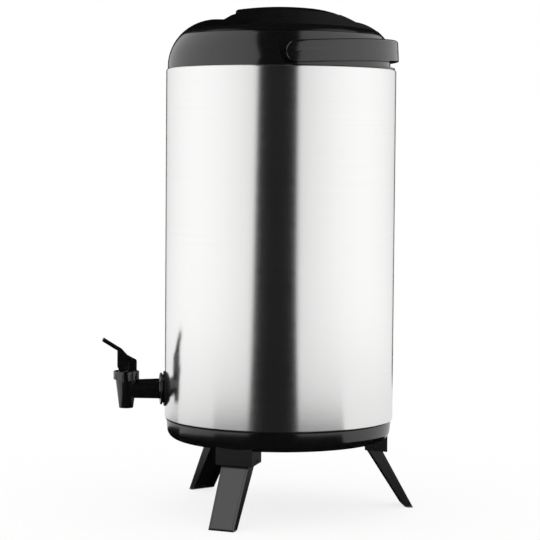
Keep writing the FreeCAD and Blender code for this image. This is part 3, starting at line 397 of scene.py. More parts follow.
def combine(kind, body, *tools):
    # Cuts, joins or intersects closed shapes and returns the result
    main = standIn(body)
    others = [standIn(tool) for tool in tools]
    for other in others:
        change = main.modifiers.new("shape", "BOOLEAN")
        change.operation = kind
        change.solver = "EXACT"
        change.object = other
    shaped = main.evaluated_get(bpy.context.evaluated_depsgraph_get())
    result = bmesh.new()
    result.from_mesh(shaped.to_mesh())
    shaped.to_mesh_clear()
    for item in [main, *others]:
        mesh = item.data
        bpy.data.objects.remove(item)
        bpy.data.meshes.remove(mesh)
    bmesh.ops.remove_doubles(result, verts=result.verts, dist=weldCut)
    bmesh.ops.dissolve_degenerate(result, edges=result.edges, dist=weldCut)
    return result


def gather(*shapes):
    # Several loose shapes in one mesh
    whole = bmesh.new()
    for shape in shapes:
        mesh = bpy.data.meshes.new("gathered")
        shape.to_mesh(mesh)
        shape.free()
        whole.from_mesh(mesh)
        bpy.data.meshes.remove(mesh)
    return whole


def makePiece(name, bm, finish, body, nodes, edge=0.0, crease=30):
    # Corners sharper than crease, in degrees, stay sharp, or are bevelled by edge
    mesh = bpy.data.meshes.new(name)
    bmesh.ops.recalc_face_normals(bm, faces=bm.faces)
    bm.to_mesh(mesh)
    bm.free()
    mesh.shade_smooth()
    mesh.set_sharp_from_angle(angle=math.radians(crease))
    mesh.materials.append(finish)
    piece = addObject(name, mesh)
    if edge:
        soft = piece.modifiers.new("softEdges", "BEVEL")
        soft.width = edge * mm
        soft.segments = 3
        soft.limit_method = "ANGLE"
        soft.angle_limit = math.radians(crease)
        soft.harden_normals = True
    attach(piece, body)
    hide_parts(*nodes)
    return piece


# Barrel

barrel = {"radius": 120, "wall": 0.8, "bottom": 95.5, "top": 461.5, "shoulder": 2.5, "lip": 110}


def makeBarrel(size):
    radius, low, high, lip = size["radius"], size["bottom"], size["top"], size["lip"]
    bend, wall = size["shoulder"], size["wall"]
    shell = turnAround([
        (lip, low), (radius, low, bend), (radius, high, bend), (lip, high), (lip, high - wall),
        (radius - wall, high - wall, bend - wall), (radius - wall, low + wall, bend - wall), (lip, low + wall),
    ], 256)
    makePiece("barrel_wall", shell, barrelSteel, "root", ["outer_shell"])


makeBarrel(barrel)

pot = {
    "radius": 106, "wall": 0.8, "bottom": 104, "corner": 8, "rim": 462.3, "flange": 114.5,
    "tapHole": 8.4, "tapLevel": 127.5, "holeReach": 30,
}


def makePot(size):
    radius, wall, low, corner = size["radius"], size["wall"], size["bottom"], size["corner"]
    rim, flange, bend = size["rim"], size["flange"], radius - corner
    shell = turnAround([
        (0, low), (bend, low), ("arc", bend, low + corner, 90), (radius, rim - wall), (flange, rim - wall),
        (flange, rim), (radius - wall, rim), (radius - wall, low + corner), ("arc", bend, low + corner, -90),
        (0, low + wall),
    ], 160)
    hole = rod(size["tapHole"], size["holeReach"], (0, -barrel["radius"], size["tapLevel"]), "Y")
    makePiece("drink_pot", combine("DIFFERENCE", shell, hole), potSteel, "root", ["inner_liner"])


makePot(pot)

# Base ring, its fill plug, and the leg brackets with their screws and pins

baseRing = {
    "radius": 118.3, "lean": 1, "bottom": 75.5, "top": 95.5, "rounding": 10, "sweep": 84.4, "lip": 0.4,
    "wall": 3, "hole": 9, "grooveRadius": 62, "grooveWidth": 2, "grooveDepth": 0.7,
    "wallFoot": 8, "spigot": 109.7, "spigotFoot": 3.2, "spigotTop": 101.5,
}
fillPlug = {"radius": 12, "head": 1.5, "edge": 0.6}


def makeBase(size, plugSize):
    radius, low, high, bend = size["radius"], size["bottom"], size["top"], size["rounding"]
    under, wall, hole, spigot = radius - size["lean"], size["wall"], size["hole"], size["spigot"]
    start, deep = size["grooveRadius"], size["grooveDepth"]
    end = start + size["grooveWidth"]
    outline = [
        (hole, low), (start, low), (start, low + deep), (end, low + deep), (end, low), (under - bend, low),
        ("arc", under - bend, low + bend, size["sweep"]), (radius, high, size["lip"]), (radius - wall, high),
        (under - wall, low + size["wallFoot"]), (spigot, low + size["spigotFoot"]), (spigot, size["spigotTop"]),
        (spigot - wall, size["spigotTop"]), (spigot - wall, low + wall), (hole, low + wall),
    ]
    makePiece("base_ring", turnAround(outline, 256), glossBlack, "root", ["base"], 0.25)
    head, foot = plugSize["radius"], low - plugSize["head"]
    plug = [
        (0, foot), (head, foot, plugSize["edge"]), (head, low), (hole, low), (hole, low + wall), (0, low + wall),
    ]
    makePiece("fill_plug", turnAround(plug, 64), satinBlack, "root", ["foam_plug"])


makeBase(baseRing, fillPlug)

legSizes = {
    "headings": {"right": -30.5, "left": 210.5, "back": 90},
    "reach": 113.5, "length": 23.5, "halfWidth": 20, "side": 4.2, "drop": 14.8, "rise": 2.2, "roof": 3,
    "front": 2.8, "seatRadius": 109.31, "seatSweep": 78.6, "seatReach": 118.5,
    "pinRadial": 100.8, "pinLevel": 65.2, "pinRadius": 1.75, "pinFit": 0.06, "pinInset": 0.5, "pinEdge": 0.5,
    "splay": 29, "head": 6.9, "face": 5.5, "flangeTop": 6.7, "flangeEnd": 2, "flangeLength": 72.2,
    "heelStep": 1.5, "heelLength": 72.9, "soleEdge": 0.6, "topHalf": 15, "footHalf": 13.8, "wall": 2.5,
    "sole": 3, "formTop": 12, "formWidth": 40, "hollowTop": 20, "hollowWidth": 90,
    "grooveTop": 1, "grooveInset": 1.7, "grooveWidth": 0.55, "grooveDepth": 0.3,
}


def makeBracket(size, mark, heading):
    # A socket whose top is cut to the base's underside
    inner, outer, half = size["reach"] - size["length"], size["reach"], size["halfWidth"]
    under, top, bend = baseRing["bottom"], baseRing["top"], baseRing["rounding"]
    low, high = under - size["drop"], under + bend / 2
    profile = [(inner, low + size["rise"]), (outer, low), (outer, high), (inner, high)]
    centre = baseRing["radius"] - baseRing["lean"] - bend
    seat = [
        (0, under), (size["seatRadius"], under), ("arc", centre, under + bend, size["seatSweep"]),
        (size["seatReach"], top), (0, top),
    ]
    cavity, roof = half - size["side"], under - size["roof"]
    pinStart = (size["pinRadial"], -half - spare, size["pinLevel"])
    shape = combine(
        "DIFFERENCE",
        pushOut("XZ", profile, 2 * half),
        turnAround(seat, 256),
        block((inner - spare, -cavity, low - spare), (outer - size["front"], cavity, roof)),
        rod(size["pinRadius"], 2 * (half + spare), pinStart, "Y", sides=32),
    )
    place(shape, heading=heading)
    makePiece("bracket_" + mark, shape, bracketBlack, "root", ["leg_bracket_" + mark], 0.7)


def makeLeg(size, name, heading):
    # A channel whose head turns on the pin, drawn upright about the pin and then splayed
    lean = math.radians(size["splay"])

    def along(level, offset):
        # How far down the leg a level above the floor lies, at an offset from its middle
        return (size["pinLevel"] - level + offset * math.sin(lean)) / math.cos(lean)

    head, face, start, sole = size["head"], size["face"], size["flangeTop"], size["sole"]
    top = math.sqrt(head ** 2 - face ** 2)
    back = math.atan2(-math.sqrt(head ** 2 - start ** 2), -start)
    angle = math.degrees(back - math.atan2(top, face)) % 360
    profile = [
        (face, -along(0, face)), (face, top), ("arc", 0, 0, angle),
        (-size["flangeEnd"], -size["flangeLength"]), (-size["heelStep"], -size["heelLength"]),
        (size["soleEdge"], -along(0, size["soleEdge"])),
    ]
    foot = along(0, face)
    wide, narrow, wall = size["topHalf"], size["footHalf"], size["wall"]
    formTop, width, past = size["formTop"], size["formWidth"], size["hollowTop"]
    front = [(-wide, formTop), (-wide, 0), (-narrow, -foot), (narrow, -foot), (wide, 0), (wide, formTop)]
    hollowProfile = [
        (face - wall, -along(sole, face - wall)), (face - wall, past), (-past, past), (-past, -along(sole, -past)),
    ]
    hollowFront = [
        (wall - wide, past + 2 * spare), (wall - wide, 0), (wall - narrow, -foot),
        (narrow - wall, -foot), (wide - wall, 0), (wide - wall, past + 2 * spare),
    ]
    solid = combine("INTERSECT", pushOut("XZ", profile, width, arcStep=8), pushOut("YZ", front, width))
    hollow = combine(
        "INTERSECT", pushOut("XZ", hollowProfile, width), pushOut("YZ", hollowFront, size["hollowWidth"]),
    )

    def panel(inset, thickness):
        low, high = inset - foot, -size["grooveTop"]
        return pushOut("YZ", [
            (inset - wide, high), (inset - narrow, low), (narrow - inset, low), (wide - inset, high),
        ], thickness, face)

    inset, deep = size["grooveInset"], size["grooveDepth"]
    groove = combine("DIFFERENCE", panel(inset, 2 * deep), panel(inset + size["grooveWidth"], 4 * deep))
    bore = rod(size["pinRadius"] + size["pinFit"], width, (0, -width / 2, 0), "Y", sides=32)
    leg = combine("DIFFERENCE", solid, hollow, groove, bore)
    place(leg, (size["pinRadial"], 0, size["pinLevel"]), -size["splay"], heading=heading)
    makePiece("folding_" + name, leg, legBlack, name, [name], 0.8)


def makePin(size, mark, heading):
    half, radius, edge = size["halfWidth"] - size["pinInset"], size["pinRadius"], size["pinEdge"]
    pin = turnAround([(0, -half), (radius, -half, edge), (radius, half, edge), (0, half)], 32)
    place(pin, (size["pinRadial"], 0, size["pinLevel"]), aroundX=90, heading=heading)
    makePiece("hinge_pin_" + mark, pin, pinSteel, "root", ["leg_pin_" + mark])


for mark, heading in legSizes["headings"].items():
    makeBracket(legSizes, mark, heading)
    makeLeg(legSizes, "leg_" + mark, heading)
    makePin(legSizes, mark, heading)

bracketScrews = {
    "radial": 95.8, "offset": 8, "radius": 1.5, "length": 10, "point": 1, "headRadius": 2.8, "headHeight": 2,
    "headRound": 1.1, "roof": 72.5, "slotHalf": 1.6, "slotWidth": 0.6, "slotDepth": 0.9,
}


def makeScrews(size):
    # Two cross-head screws in the roof of each bracket
    radius, head, top = size["radius"], size["headRadius"], size["roof"]
    low = top - size["headHeight"]
    end = low + size["length"]
    arm, thin = size["slotHalf"], size["slotWidth"] / 2
    screws = []
    for heading in legSizes["headings"].values():
        for side in (-1, 1):
            outline = [
                (0, low), (head, low, size["headRound"]), (head, top), (radius, top), (radius, end),
                (0, end + size["point"]),
            ]
            slots = [
                block((-x, -y, low - spare), (x, y, low + size["slotDepth"]))
                for x, y in ((arm, thin), (thin, arm))
            ]
            screw = combine("DIFFERENCE", turnAround(outline, 32), *slots)
            screws.append(place(screw, (size["radial"], side * size["offset"], 0), heading=heading))
    makePiece("bracket_screw_set", gather(*screws), screwSteel, "root", ["bracket_screws"])


makeScrews(bracketScrews)
print("barrel, base and legs ready")

# Tap

tap = {
    "y": -160.6, "level": 127.5, "drop": 19.8, "endRadius": 7.35, "endRound": 0.5, "topRadius": 11.1,
    "top": 9.2, "outlet": 5.2, "seat": 5.5, "chamber": 8.2, "neck": 10.4, "neckTop": 15,
    "tubeFront": 9.6, "tubeBack": 10.6, "tubeBore": 5, "fillet": [(-0.1, 1.2), (0.5, 0.35), (1.5, 0)],
    "flange": 16.6, "flangeThickness": 2.2, "flangeRound": 0.7, "flangeY": -123.2, "collar": 14.8,
    "shank": 8, "shankLength": 30.5, "washer": 18.3, "washerY": -121.5, "washerBlank": 5, "washerFit": 0.1,
}


def makeTap(size):
    y, level, shank, back = size["y"], size["level"], size["shank"], size["washerY"]
    low, top, neckTop = level - size["drop"], level + size["top"], level + size["neckTop"]
    spout = turnAround([
        (0, low), (size["endRadius"], low, size["endRound"]), (size["topRadius"], top),
        (size["neck"], top), (size["neck"], neckTop), (0, neckTop),
    ], 96)
    place(spout, (0, y, 0))
    # The tube with its flange and shank is drawn along its own axis and then laid down
    front, end = size["flangeY"] - size["flangeThickness"], back + size["shankLength"]
    rounding = size["flangeRound"]
    tube = turnAround([
        (0, y), (size["tubeFront"], y),
        *[(size["tubeBack"] + out, front - before) for out, before in size["fillet"]],
        (size["flange"], front, rounding), (size["flange"], size["flangeY"], rounding),
        (size["collar"], size["flangeY"]), (size["collar"], back), (shank, back), (shank, end), (0, end),
    ], 96)
    place(tube, (0, 0, level), aroundX=-90)
    seat = level - size["seat"]
    casting = combine(
        "DIFFERENCE", combine("UNION", spout, tube),
        rod(size["chamber"], neckTop - seat + spare, (0, y, seat)),
        rod(size["outlet"], seat - low + 2 * spare, (0, y, low - spare)),
        rod(size["tubeBore"], end - y + spare, (0, y, level), "Y"),
    )
    makePiece("tap_casting", casting, glossBlack, "root", ["tap_body"], 0.35, 14)
    radius, deep = size["washer"], size["washerBlank"]
    bend, reach = barrel["radius"] + size["washerFit"], radius + spare
    wall = rod(bend, 2 * reach, (0, 0, level - reach), sides=256)
    disc = combine(
        "DIFFERENCE", rod(radius, deep, (0, back, level), "Y", sides=96), wall,
        rod(shank, deep + 2 * spare, (0, back - spare, level), "Y"),
    )
    makePiece("tap_gasket", disc, rubberBlack, "root", ["tap_outer_washer"], 0.3)


makeTap(tap)

bonnet = {
    "radius": 13.4, "bore": 10.7, "bottom": 137.7, "top": 146.3, "round": 0.9, "plate": 2.4, "hole": 3,
    "flutes": 10, "fluteRadius": 1, "fluteDepth": 0.7, "rim": 2.4,
}


def makeBonnet(size):
    radius, bore, hole, low, high = size["radius"], size["bore"], size["hole"], size["bottom"], size["top"]
    ceiling = high - size["plate"]
    cap = turnAround([
        (bore, low), (radius, low), (radius, high, size["round"]), (hole, high), (hole, ceiling), (bore, ceiling),
    ], 144)
    reach = radius + size["fluteRadius"] - size["fluteDepth"]
    flutes = []
    for index in range(size["flutes"]):
        angle = math.tau * (index + 0.5) / size["flutes"]
        at = (reach * math.cos(angle), reach * math.sin(angle), low - spare)
        flutes.append(rod(size["fluteRadius"], high - size["rim"] - low + spare, at, sides=24))
    fluted = place(combine("DIFFERENCE", cap, gather(*flutes)), (0, tap["y"], 0))
    makePiece("tap_ring_nut", fluted, glossBlack, "root", ["tap_bonnet"], 0.25)


makeBonnet(bonnet)

lever = {
    "pinLevel": 150.35, "pinRadius": 1.5, "pinEdge": 0.3, "width": 13,
    "slotHalf": 2.8, "slotLow": (-6.6, -6), "slotHigh": (8.6, 6),
    "panelDepth": 0.7, "panelLow": (2, -1.7), "panelHigh": (9.4, 6.1),
    "side": [
        (10.6, -2.8), (10.6, 7.1), (1.2, 12.2), (-4.5, 18.6), (-23.4, 30.4),
        (-25.254, 27.431), (-9.2, 17.408), (-9.2, 0.85), ("arc", -4.7, 0.85, 90),
    ],
}


def makeLever(size):
    # A push lever with a slot for the rod's head and a sunk panel on either side
    half, radius, slot, edge = size["width"] / 2, size["pinRadius"], size["slotHalf"], size["pinEdge"]
    at, past, deep = (0, tap["y"], size["pinLevel"]), half + spare, half - size["panelDepth"]
    shaped = combine(
        "DIFFERENCE", pushOut("YZ", size["side"], size["width"]),
        block((-slot, *size["slotLow"]), (slot, *size["slotHigh"])),
        block((deep, *size["panelLow"]), (past, *size["panelHigh"])),
        block((-past, *size["panelLow"]), (-deep, *size["panelHigh"])),
        rod(radius, 2 * past, (-past, 0, 0), "X", sides=32),
    )
    makePiece("push_lever", place(shaped, at), glossBlack, "lever", ["tap_lever"], 0.5)
    pin = turnAround([(0, -half), (radius, -half, edge), (radius, half, edge), (0, half)], 32)
    makePiece("lever_axle", place(pin, at, 90), pinSteel, "lever", ["lever_pin"])


makeLever(lever)

sealCup = {
    "bottom": 122.1, "top": 143.9, "rimRadius": 10.2, "rim": 1.4, "bellRadius": 7.6, "bellLevel": 135.5,
    "wall": 1.2, "noseRadius": 6.2, "noseInset": 1.6, "noseLevel": 128.5, "noseRise": 1.1,
    "throatRadius": 2.6, "throatLevel": 130.5, "bulbRadius": 4, "bulbLevel": 124.7, "bulbHeight": 2.4,
    "travel": 3.46,
}


def makeSealCup(size):
    # The soft cup, its rim clamped under the ring nut, rides with the valve
    bottom, top, bell, nose = size["bottom"], size["top"], size["bellRadius"], size["noseRadius"]
    rim, rimLow, lining = size["rimRadius"], top - size["rim"], bell - size["wall"]
    throat, bulb, bulbLow = size["throatRadius"], size["bulbRadius"], size["bulbLevel"]
    bulbTop = bulbLow + size["bulbHeight"]
    cup = turnAround([
        (0, bottom), (nose - size["noseInset"], bottom), (nose, bottom + size["noseRise"]),
        (nose, size["noseLevel"]), (bell, size["bellLevel"]), (bell, rimLow),
        (rim, rimLow), (rim, top), (lining, top), (lining, size["bellLevel"] + size["wall"]),
        (throat, size["throatLevel"]), (throat, bulbTop), (bulb, bulbTop), (bulb, bulbLow), (0, bulbLow),
    ], 64)
    place(cup, (0, tap["y"], 0))
    piece = makePiece("seal_cup", cup, milkySilicone, "valve", ["seat_cup"])
    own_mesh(piece)


makeSealCup(sealCup)
print("tap ready")

# Collar with its bail recess

collar = {
    "radius": 118.5, "foot": 461.5, "arcCentre": 70.1, "arcLevel": 463.5, "arc": 48.4, "seam": 495.5,
    "neck": 97, "wall": 3, "rebate": 103.81, "rebateDepth": 2.5, "backing": 110.8, "skirt": 114.8,
    "skirtTop": 462.3, "flange": 110.4, "flangeLow": 463.1, "flangeHigh": 465.5,
    "pivotLevel": 474.7, "pivotBore": 3.08, "recessRadius": 113.8, "recessFloor": 11.4, "recessFront": 16.5,
    "lean": 12.5, "recessTop": 26, "lugCount": 4, "lugSpan": 40, "lugLead": 24, "lugHeight": 2.6,
    "lugDepth": 2.6, "lugRoot": 1, "lugLevel": 477.5, "lugGap": 0.4, "lugHeading": 10,
}


def threadLugs(size, outer, inner, level, heading):
    lugs = []
    half = size["lugHeight"] / 2
    rise = size["lugLead"] * size["lugSpan"] / 360
    for index in range(size["lugCount"]):
        outline = [
            (inner, level - half - rise / 2), (outer, level - half - rise / 2),
            (outer, level + half - rise / 2), (inner, level + half - rise / 2),
        ]
        start = heading - size["lugSpan"] / 2 + 360 * index / size["lugCount"]
        lugs.append(turnAround(outline, 24, size["lugSpan"], start, rise))
    return lugs


def makeCollar(size):
    seam, centre, level = size["seam"], size["arcCentre"], size["arcLevel"]
    rise = math.degrees(math.asin((seam - level) / size["arc"]))
    inner, neck, skirt = size["arc"] - size["wall"], size["neck"], size["skirt"]
    step = seam - size["rebateDepth"]
    under, lining = step - size["wall"], neck + size["wall"]
    startAngle = math.degrees(math.asin((under - level) / inner))
    endAngle = math.degrees(math.acos((size["backing"] - centre) / inner))
    ring = turnAround([
        (size["radius"], size["foot"]), (size["radius"], level), ("arc", centre, level, rise),
        (size["rebate"], seam), (size["rebate"], step), (neck, step),
        (neck, size["flangeLow"]), (size["flange"], size["flangeLow"]),
        (size["flange"], size["flangeHigh"]), (lining, size["flangeHigh"]), (lining, under),
        (centre + inner * math.cos(math.radians(startAngle)), under),
        ("arc", centre, level, endAngle - startAngle), (size["backing"], size["skirtTop"]),
        (skirt, size["skirtTop"]), (skirt, size["foot"]),
    ], 256, arcStep=1.5)
    pivot, front, lean = size["pivotLevel"], size["recessFront"], math.radians(size["lean"])
    floor, top = pivot - size["recessFloor"], pivot + size["recessTop"]
    wallY, wallZ = -front * math.cos(lean), pivot - front * math.sin(lean)
    bottomY = -math.sqrt(front ** 2 - size["recessFloor"] ** 2)
    sweep = math.degrees(math.atan2(size["recessFloor"], -bottomY)) - size["lean"]
    slab = pushOut("YZ", [
        (through, floor), (through, top), (wallY - (top - wallZ) * math.tan(lean), top),
        (wallY, wallZ), ("arc", 0, pivot, sweep),
    ], 2 * through)
    core = rod(size["recessRadius"], top - floor + 2 * spare, (0, 0, floor - spare), sides=256)
    bore = rod(size["pivotBore"], 2 * through, (-through, 0, pivot), "X", sides=32)
    carved = combine("DIFFERENCE", ring, combine("DIFFERENCE", slab, core), bore)
    # The collar's lugs lie a lug's height and a gap over the lid's, further along the thread
    climb = size["lugLead"] * size["lugHeading"] / 360
    lugLevel = size["lugLevel"] + size["lugHeight"] + size["lugGap"] + climb
    lugs = threadLugs(size, neck + size["lugRoot"], neck - size["lugDepth"], lugLevel, size["lugHeading"])
    whole = gather(carved, *lugs)
    makePiece("shoulder_collar", whole, glossBlack, "root", ["collar"], 0.8)


makeCollar(collar)

bail = {
    "inner": 115.2, "outer": 122.2, "half": 11, "lowRounds": (0.5, 1.2), "topRounds": (0.8, 3), "overrun": 5,
    "tilt": 3, "pivot": 474.7, "skin": 1.2, "bevel": 1,
    "partingHalf": 0.5, "partingDepth": 0.18, "screwRadius": 3, "screwEnd": 120.4, "screwEdge": 0.5,
    "headRadius": 5, "headStart": 107.3, "headEnd": 110.3, "slotHalf": 0.5, "slotDepth": 1,
    "washerBore": 3.2, "washerRadius": 6, "washerStart": 114.15, "washerEnd": 114.85,
}


def makeBail(size):
    inner, outer, half, parting = size["inner"], size["outer"], size["half"], size["partingHalf"]
    bevel, high = size["bevel"], size["half"] + spare
    stance = {"at": (0, 0, size["pivot"]), "aroundX": size["tilt"]}
    hoop = turnAround([
        (inner, -half, size["lowRounds"][0]), (outer, -half, size["lowRounds"][1]),
        (outer, -parting), (outer - size["partingDepth"], 0), (outer, parting),
        (outer, half, size["topRounds"][1]), (inner, half, size["topRounds"][0]),
    ], 128, 180 + 2 * size["overrun"], -size["overrun"])
    ends = pushOut("YZ", [
        (through, -high), (through, high), (spare / 2, high), (0, half),
        ("arc", 0, 0, 180), (spare / 2, -high),
    ], 2 * through, arcStep=4)
    blind = outer - size["skin"]
    bore = rod(size["screwRadius"], 2 * blind, (-blind, 0, 0), "X", sides=48)
    handle = combine("DIFFERENCE", combine("INTERSECT", hoop, ends), bore)
    for heading in (0, 180):
        # A ring of the bevel's section cuts the front half of each rounded end
        rim = turnAround([
            (half - 2 * bevel, outer + bevel), (half + bevel, outer - 2 * bevel), (half + bevel, outer + bevel),
        ], 96)
        place(rim, tilt=90, heading=heading)
        rear = block((-through, 0, -through), (through, through, through))
        handle = combine("DIFFERENCE", handle, combine("DIFFERENCE", rim, rear))
    place(handle, **stance)
    makePiece("carry_bail", handle, glossBlack, "bail", ["bail_handle"], 1.2)

    head, shank, start, end = size["headRadius"], size["screwRadius"], size["headStart"], size["headEnd"]
    bore, rim = size["washerBore"], size["washerRadius"]
    screws = []
    washers = []
    for heading in (0, 180):
        screw = turnAround([
            (0, start), (head, start), (head, end), (shank, end),
            (shank, size["screwEnd"], size["screwEdge"]), (0, size["screwEnd"]),
        ], 48)
        slot = block(
            (start - spare, -size["slotHalf"], -head - spare),
            (start + size["slotDepth"], size["slotHalf"], head + spare),
        )
        screws.append(place(combine("DIFFERENCE", place(screw, tilt=90), slot), heading=heading))
        washer = turnAround([
            (bore, size["washerStart"]), (rim, size["washerStart"]), (rim, size["washerEnd"]),
            (bore, size["washerEnd"]),
        ], 48)
        washers.append(place(washer, tilt=90, heading=heading))
    pair = place(gather(*screws), **stance)
    makePiece("bail_screw_pair", pair, screwSteel, "bail", ["bail_screws"])
    pair = place(gather(*washers), **stance)
    makePiece("bail_washer_pair", pair, whiteNylon, "bail", ["bail_washers"])


makeBail(bail)
print("collar and bail ready")

# Lid

lid = {
    "bottom": 495.9, "arcCentre": 70.1, "arcLevel": 463.5, "arc": 48.4,
    "gripHalf": 14, "gripFlat": 10, "gripFoot": 497, "gripRun": 4, "bevelDrop": 3.2,
    "crownY": 2, "crownZ": 526.1, "crownArc": 330, "bendY": 30, "tailArc": 120, "tailY": 76,
    "noseY": -47, "noseZ": 518.7, "shoulder": (-54, 516.5), "foot": (-62, 511.9),
    "scoopCentre": (20, 10, 519.5), "scoopRadii": (144.5, 300, 19.6), "ventOffset": 55, "ventRadius": 5,
}


def makeDome(size):
    centre, level, arc, bottom = size["arcCentre"], size["arcLevel"], size["arc"], size["bottom"]
    start = math.asin((bottom - level) / arc)
    return turnAround([
        (0, bottom), (centre + arc * math.cos(start), bottom),
        ("arc", centre, level, 90 - math.degrees(start)), (0, level + arc),
    ], 256, arcStep=1.5)


def makeGrip(size):
    crownZ = size["crownZ"] - size["crownArc"]

    def crown(y):
        return crownZ + math.sqrt(size["crownArc"] ** 2 - (y - size["crownY"]) ** 2)

    share = size["tailArc"] / size["crownArc"]
    bendZ = crown(size["bendY"])
    tailY = size["bendY"] - (size["bendY"] - size["crownY"]) * share
    tailZ = bendZ - (bendZ - crownZ) * share

    def bearing(y, z, centreY, centreZ):
        return math.degrees(math.atan2(z - centreZ, y - centreY))

    noseTop = crown(size["noseY"])
    tailEnd = tailZ + math.sqrt(size["tailArc"] ** 2 - (size["tailY"] - tailY) ** 2)
    bend = bearing(size["bendY"], bendZ, size["crownY"], crownZ)
    crownSweep = bend - bearing(size["noseY"], noseTop, size["crownY"], crownZ)
    tailSweep = bearing(size["tailY"], tailEnd, tailY, tailZ) - bend
    low, run = size["gripFoot"], size["gripRun"]
    bm = drawOutline("YZ", [
        (size["foot"][0] - run, low), size["foot"], size["shoulder"],
        (size["noseY"], size["noseZ"]), (size["noseY"], noseTop),
        ("arc", size["crownY"], crownZ, crownSweep), ("arc", tailY, tailZ, tailSweep),
        (size["tailY"] + run, low),
    ], 0.8)
    # Four copies of the outline across the grip, the outer two with a lowered top edge
    bmesh.ops.translate(bm, verts=bm.verts, vec=(-size["gripHalf"] * mm, 0, 0))
    loops = [bm.edges[:]]
    for x in (-size["gripFlat"], size["gripFlat"], size["gripHalf"]):
        copy = bmesh.ops.duplicate(bm, geom=loops[0])
        verts = [item for item in copy["geom"] if isinstance(item, bmesh.types.BMVert)]
        bmesh.ops.translate(bm, verts=verts, vec=((x + size["gripHalf"]) * mm, 0, 0))
        loops.append([item for item in copy["geom"] if isinstance(item, bmesh.types.BMEdge)])
    for vert in {v for loop in (loops[0], loops[3]) for e in loop for v in e.verts}:
        y, z = vert.co.y / mm, vert.co.z / mm
        if y > size["noseY"] - 0.01 and z > size["noseZ"] + 0.1:
            fade = min(1, max(0, (size["tailY"] - y) / (size["tailY"] - size["bendY"])))
            vert.co.z -= size["bevelDrop"] * fade * mm
    for first, second in zip(loops, loops[1:]):
        bmesh.ops.bridge_loops(bm, edges=first + second)
    return closeUp(bm)


def makeScoop(size, side):
    bm = bmesh.new()
    bmesh.ops.create_uvsphere(bm, u_segments=256, v_segments=160, radius=mm)
    rotate(bm, 90, "X")
    bmesh.ops.scale(bm, verts=bm.verts, vec=size["scoopRadii"])
    x, y, z = size["scoopCentre"]
    bmesh.ops.translate(bm, verts=bm.verts, vec=Vector((side * x, y, z)) * mm)
    bmesh.ops.bisect_plane(
        bm, geom=bm.verts[:] + bm.edges[:] + bm.faces[:], plane_co=(side * size["gripHalf"] * mm, 0, 0),
        plane_no=(-side, 0, 0), clear_outer=True,
    )
    return closeUp(bm)


def makeLid(size):
    cover = combine("UNION", makeDome(size), makeGrip(size))
    hole = rod(size["ventRadius"], 2 * through, (-size["ventOffset"], 0, size["bottom"] - through), sides=48)
    cover = combine("DIFFERENCE", cover, makeScoop(size, 1), makeScoop(size, -1), hole)
    makePiece("lid_shell", cover, lidBlack, "lid", ["lid_cover"], 0.0, 18)


makeLid(lid)

lidPlug = {
    "skirt": 94, "bottom": 469.5, "corner": 3, "top": 495.9, "flange": 102.8, "flangeTop": 498.1, "wall": 2.5,
    "sealInner": 97.6, "sealOuter": 101.6, "sealLow": 493.3, "sealHigh": 495.6, "sealRound": 0.8,
    "pipe": 5, "pipeBore": 3.2, "pipeTop": 502, "pipeRound": 0.4, "stopper": 2.9, "stopperLow": 488.3,
    "stopperRound": 0.6, "stopperSeat": 502.3, "knobTop": 504.7, "knobRound": 1,
}


def makePlug(size):
    skirt, low, bend, wall = size["skirt"], size["bottom"], size["corner"], size["wall"]
    flange, high, pipe, vent = size["flange"], size["flangeTop"], size["pipe"], -lid["ventOffset"]
    lining, floor = skirt - wall, low + wall
    cup = turnAround([
        (0, low), (skirt - bend, low), ("arc", skirt - bend, low + bend, 90), (skirt, size["top"]),
        (flange, size["top"]), (flange, high), (lining, high), (lining, floor), (0, floor),
    ], 192)
    cup = combine("DIFFERENCE", cup, rod(pipe, wall + 2 * spare, (vent, 0, low - spare), sides=48))
    lugs = threadLugs(collar, skirt + collar["lugDepth"], skirt - collar["lugRoot"], collar["lugLevel"], 0)
    makePiece("lid_plug_cup", gather(cup, *lugs), satinBlack, "lid", ["lid_plug"], 0.3)

    inner, outer, bend = size["sealInner"], size["sealOuter"], size["sealRound"]
    seal = turnAround([
        (inner, size["sealLow"], bend), (outer, size["sealLow"], bend), (outer, size["sealHigh"], bend),
        (inner, size["sealHigh"], bend),
    ], 192)
    makePiece("lid_ring_seal", seal, milkySilicone, "lid_rise", ["lid_seal"])

    bore, top, bend = size["pipeBore"], size["pipeTop"], size["pipeRound"]
    tube = turnAround([(bore, low), (pipe, low), (pipe, top, bend), (bore, top, bend)], 48)
    makePiece("vent_pipe", place(tube, (vent, 0, 0)), satinBlack, "lid", ["vent_tube"])
    radius, seat, low, top = size["stopper"], size["stopperSeat"], size["stopperLow"], size["knobTop"]
    stopper = turnAround([
        (0, low), (radius, low, size["stopperRound"]), (radius, seat), (pipe, seat),
        (pipe, top, size["knobRound"]), (0, top),
    ], 48)
    makePiece("vent_stopper", place(stopper, (vent, 0, 0)), rubberBlack, "vent", ["vent_plug"])


makePlug(lidPlug)
print("lid ready")

# Pieces that stay as packed get their finish only

keptFinishes = {
    "wall_foam": rawFoam, "lid_foam": rawFoam, "tap_inner_washer": milkySilicone, "tap_nut": whiteNylon,
    "tap_sleeve": whiteNylon, "tap_stem": whiteNylon, "neck_gasket": milkySilicone,
}
for nodeName, finish in keptFinishes.items():
    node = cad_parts[nodeName]
    for materialSlot in node.material_slots:
        materialSlot.material = finish
    if not node.material_slots:
        node.data.materials.append(finish)

# Studio: a white sweep and white surroundings, with the dark flags that the photographer's slot leaves:
# along the floor to the camera, up behind it, back over the barrel, and a low one behind the barrel

studio = {"floorSize": 12.0, "backdropShare": 0.8, "dimLight": 0.6, "brightFrom": 1.6}
viewHeading = 82.6

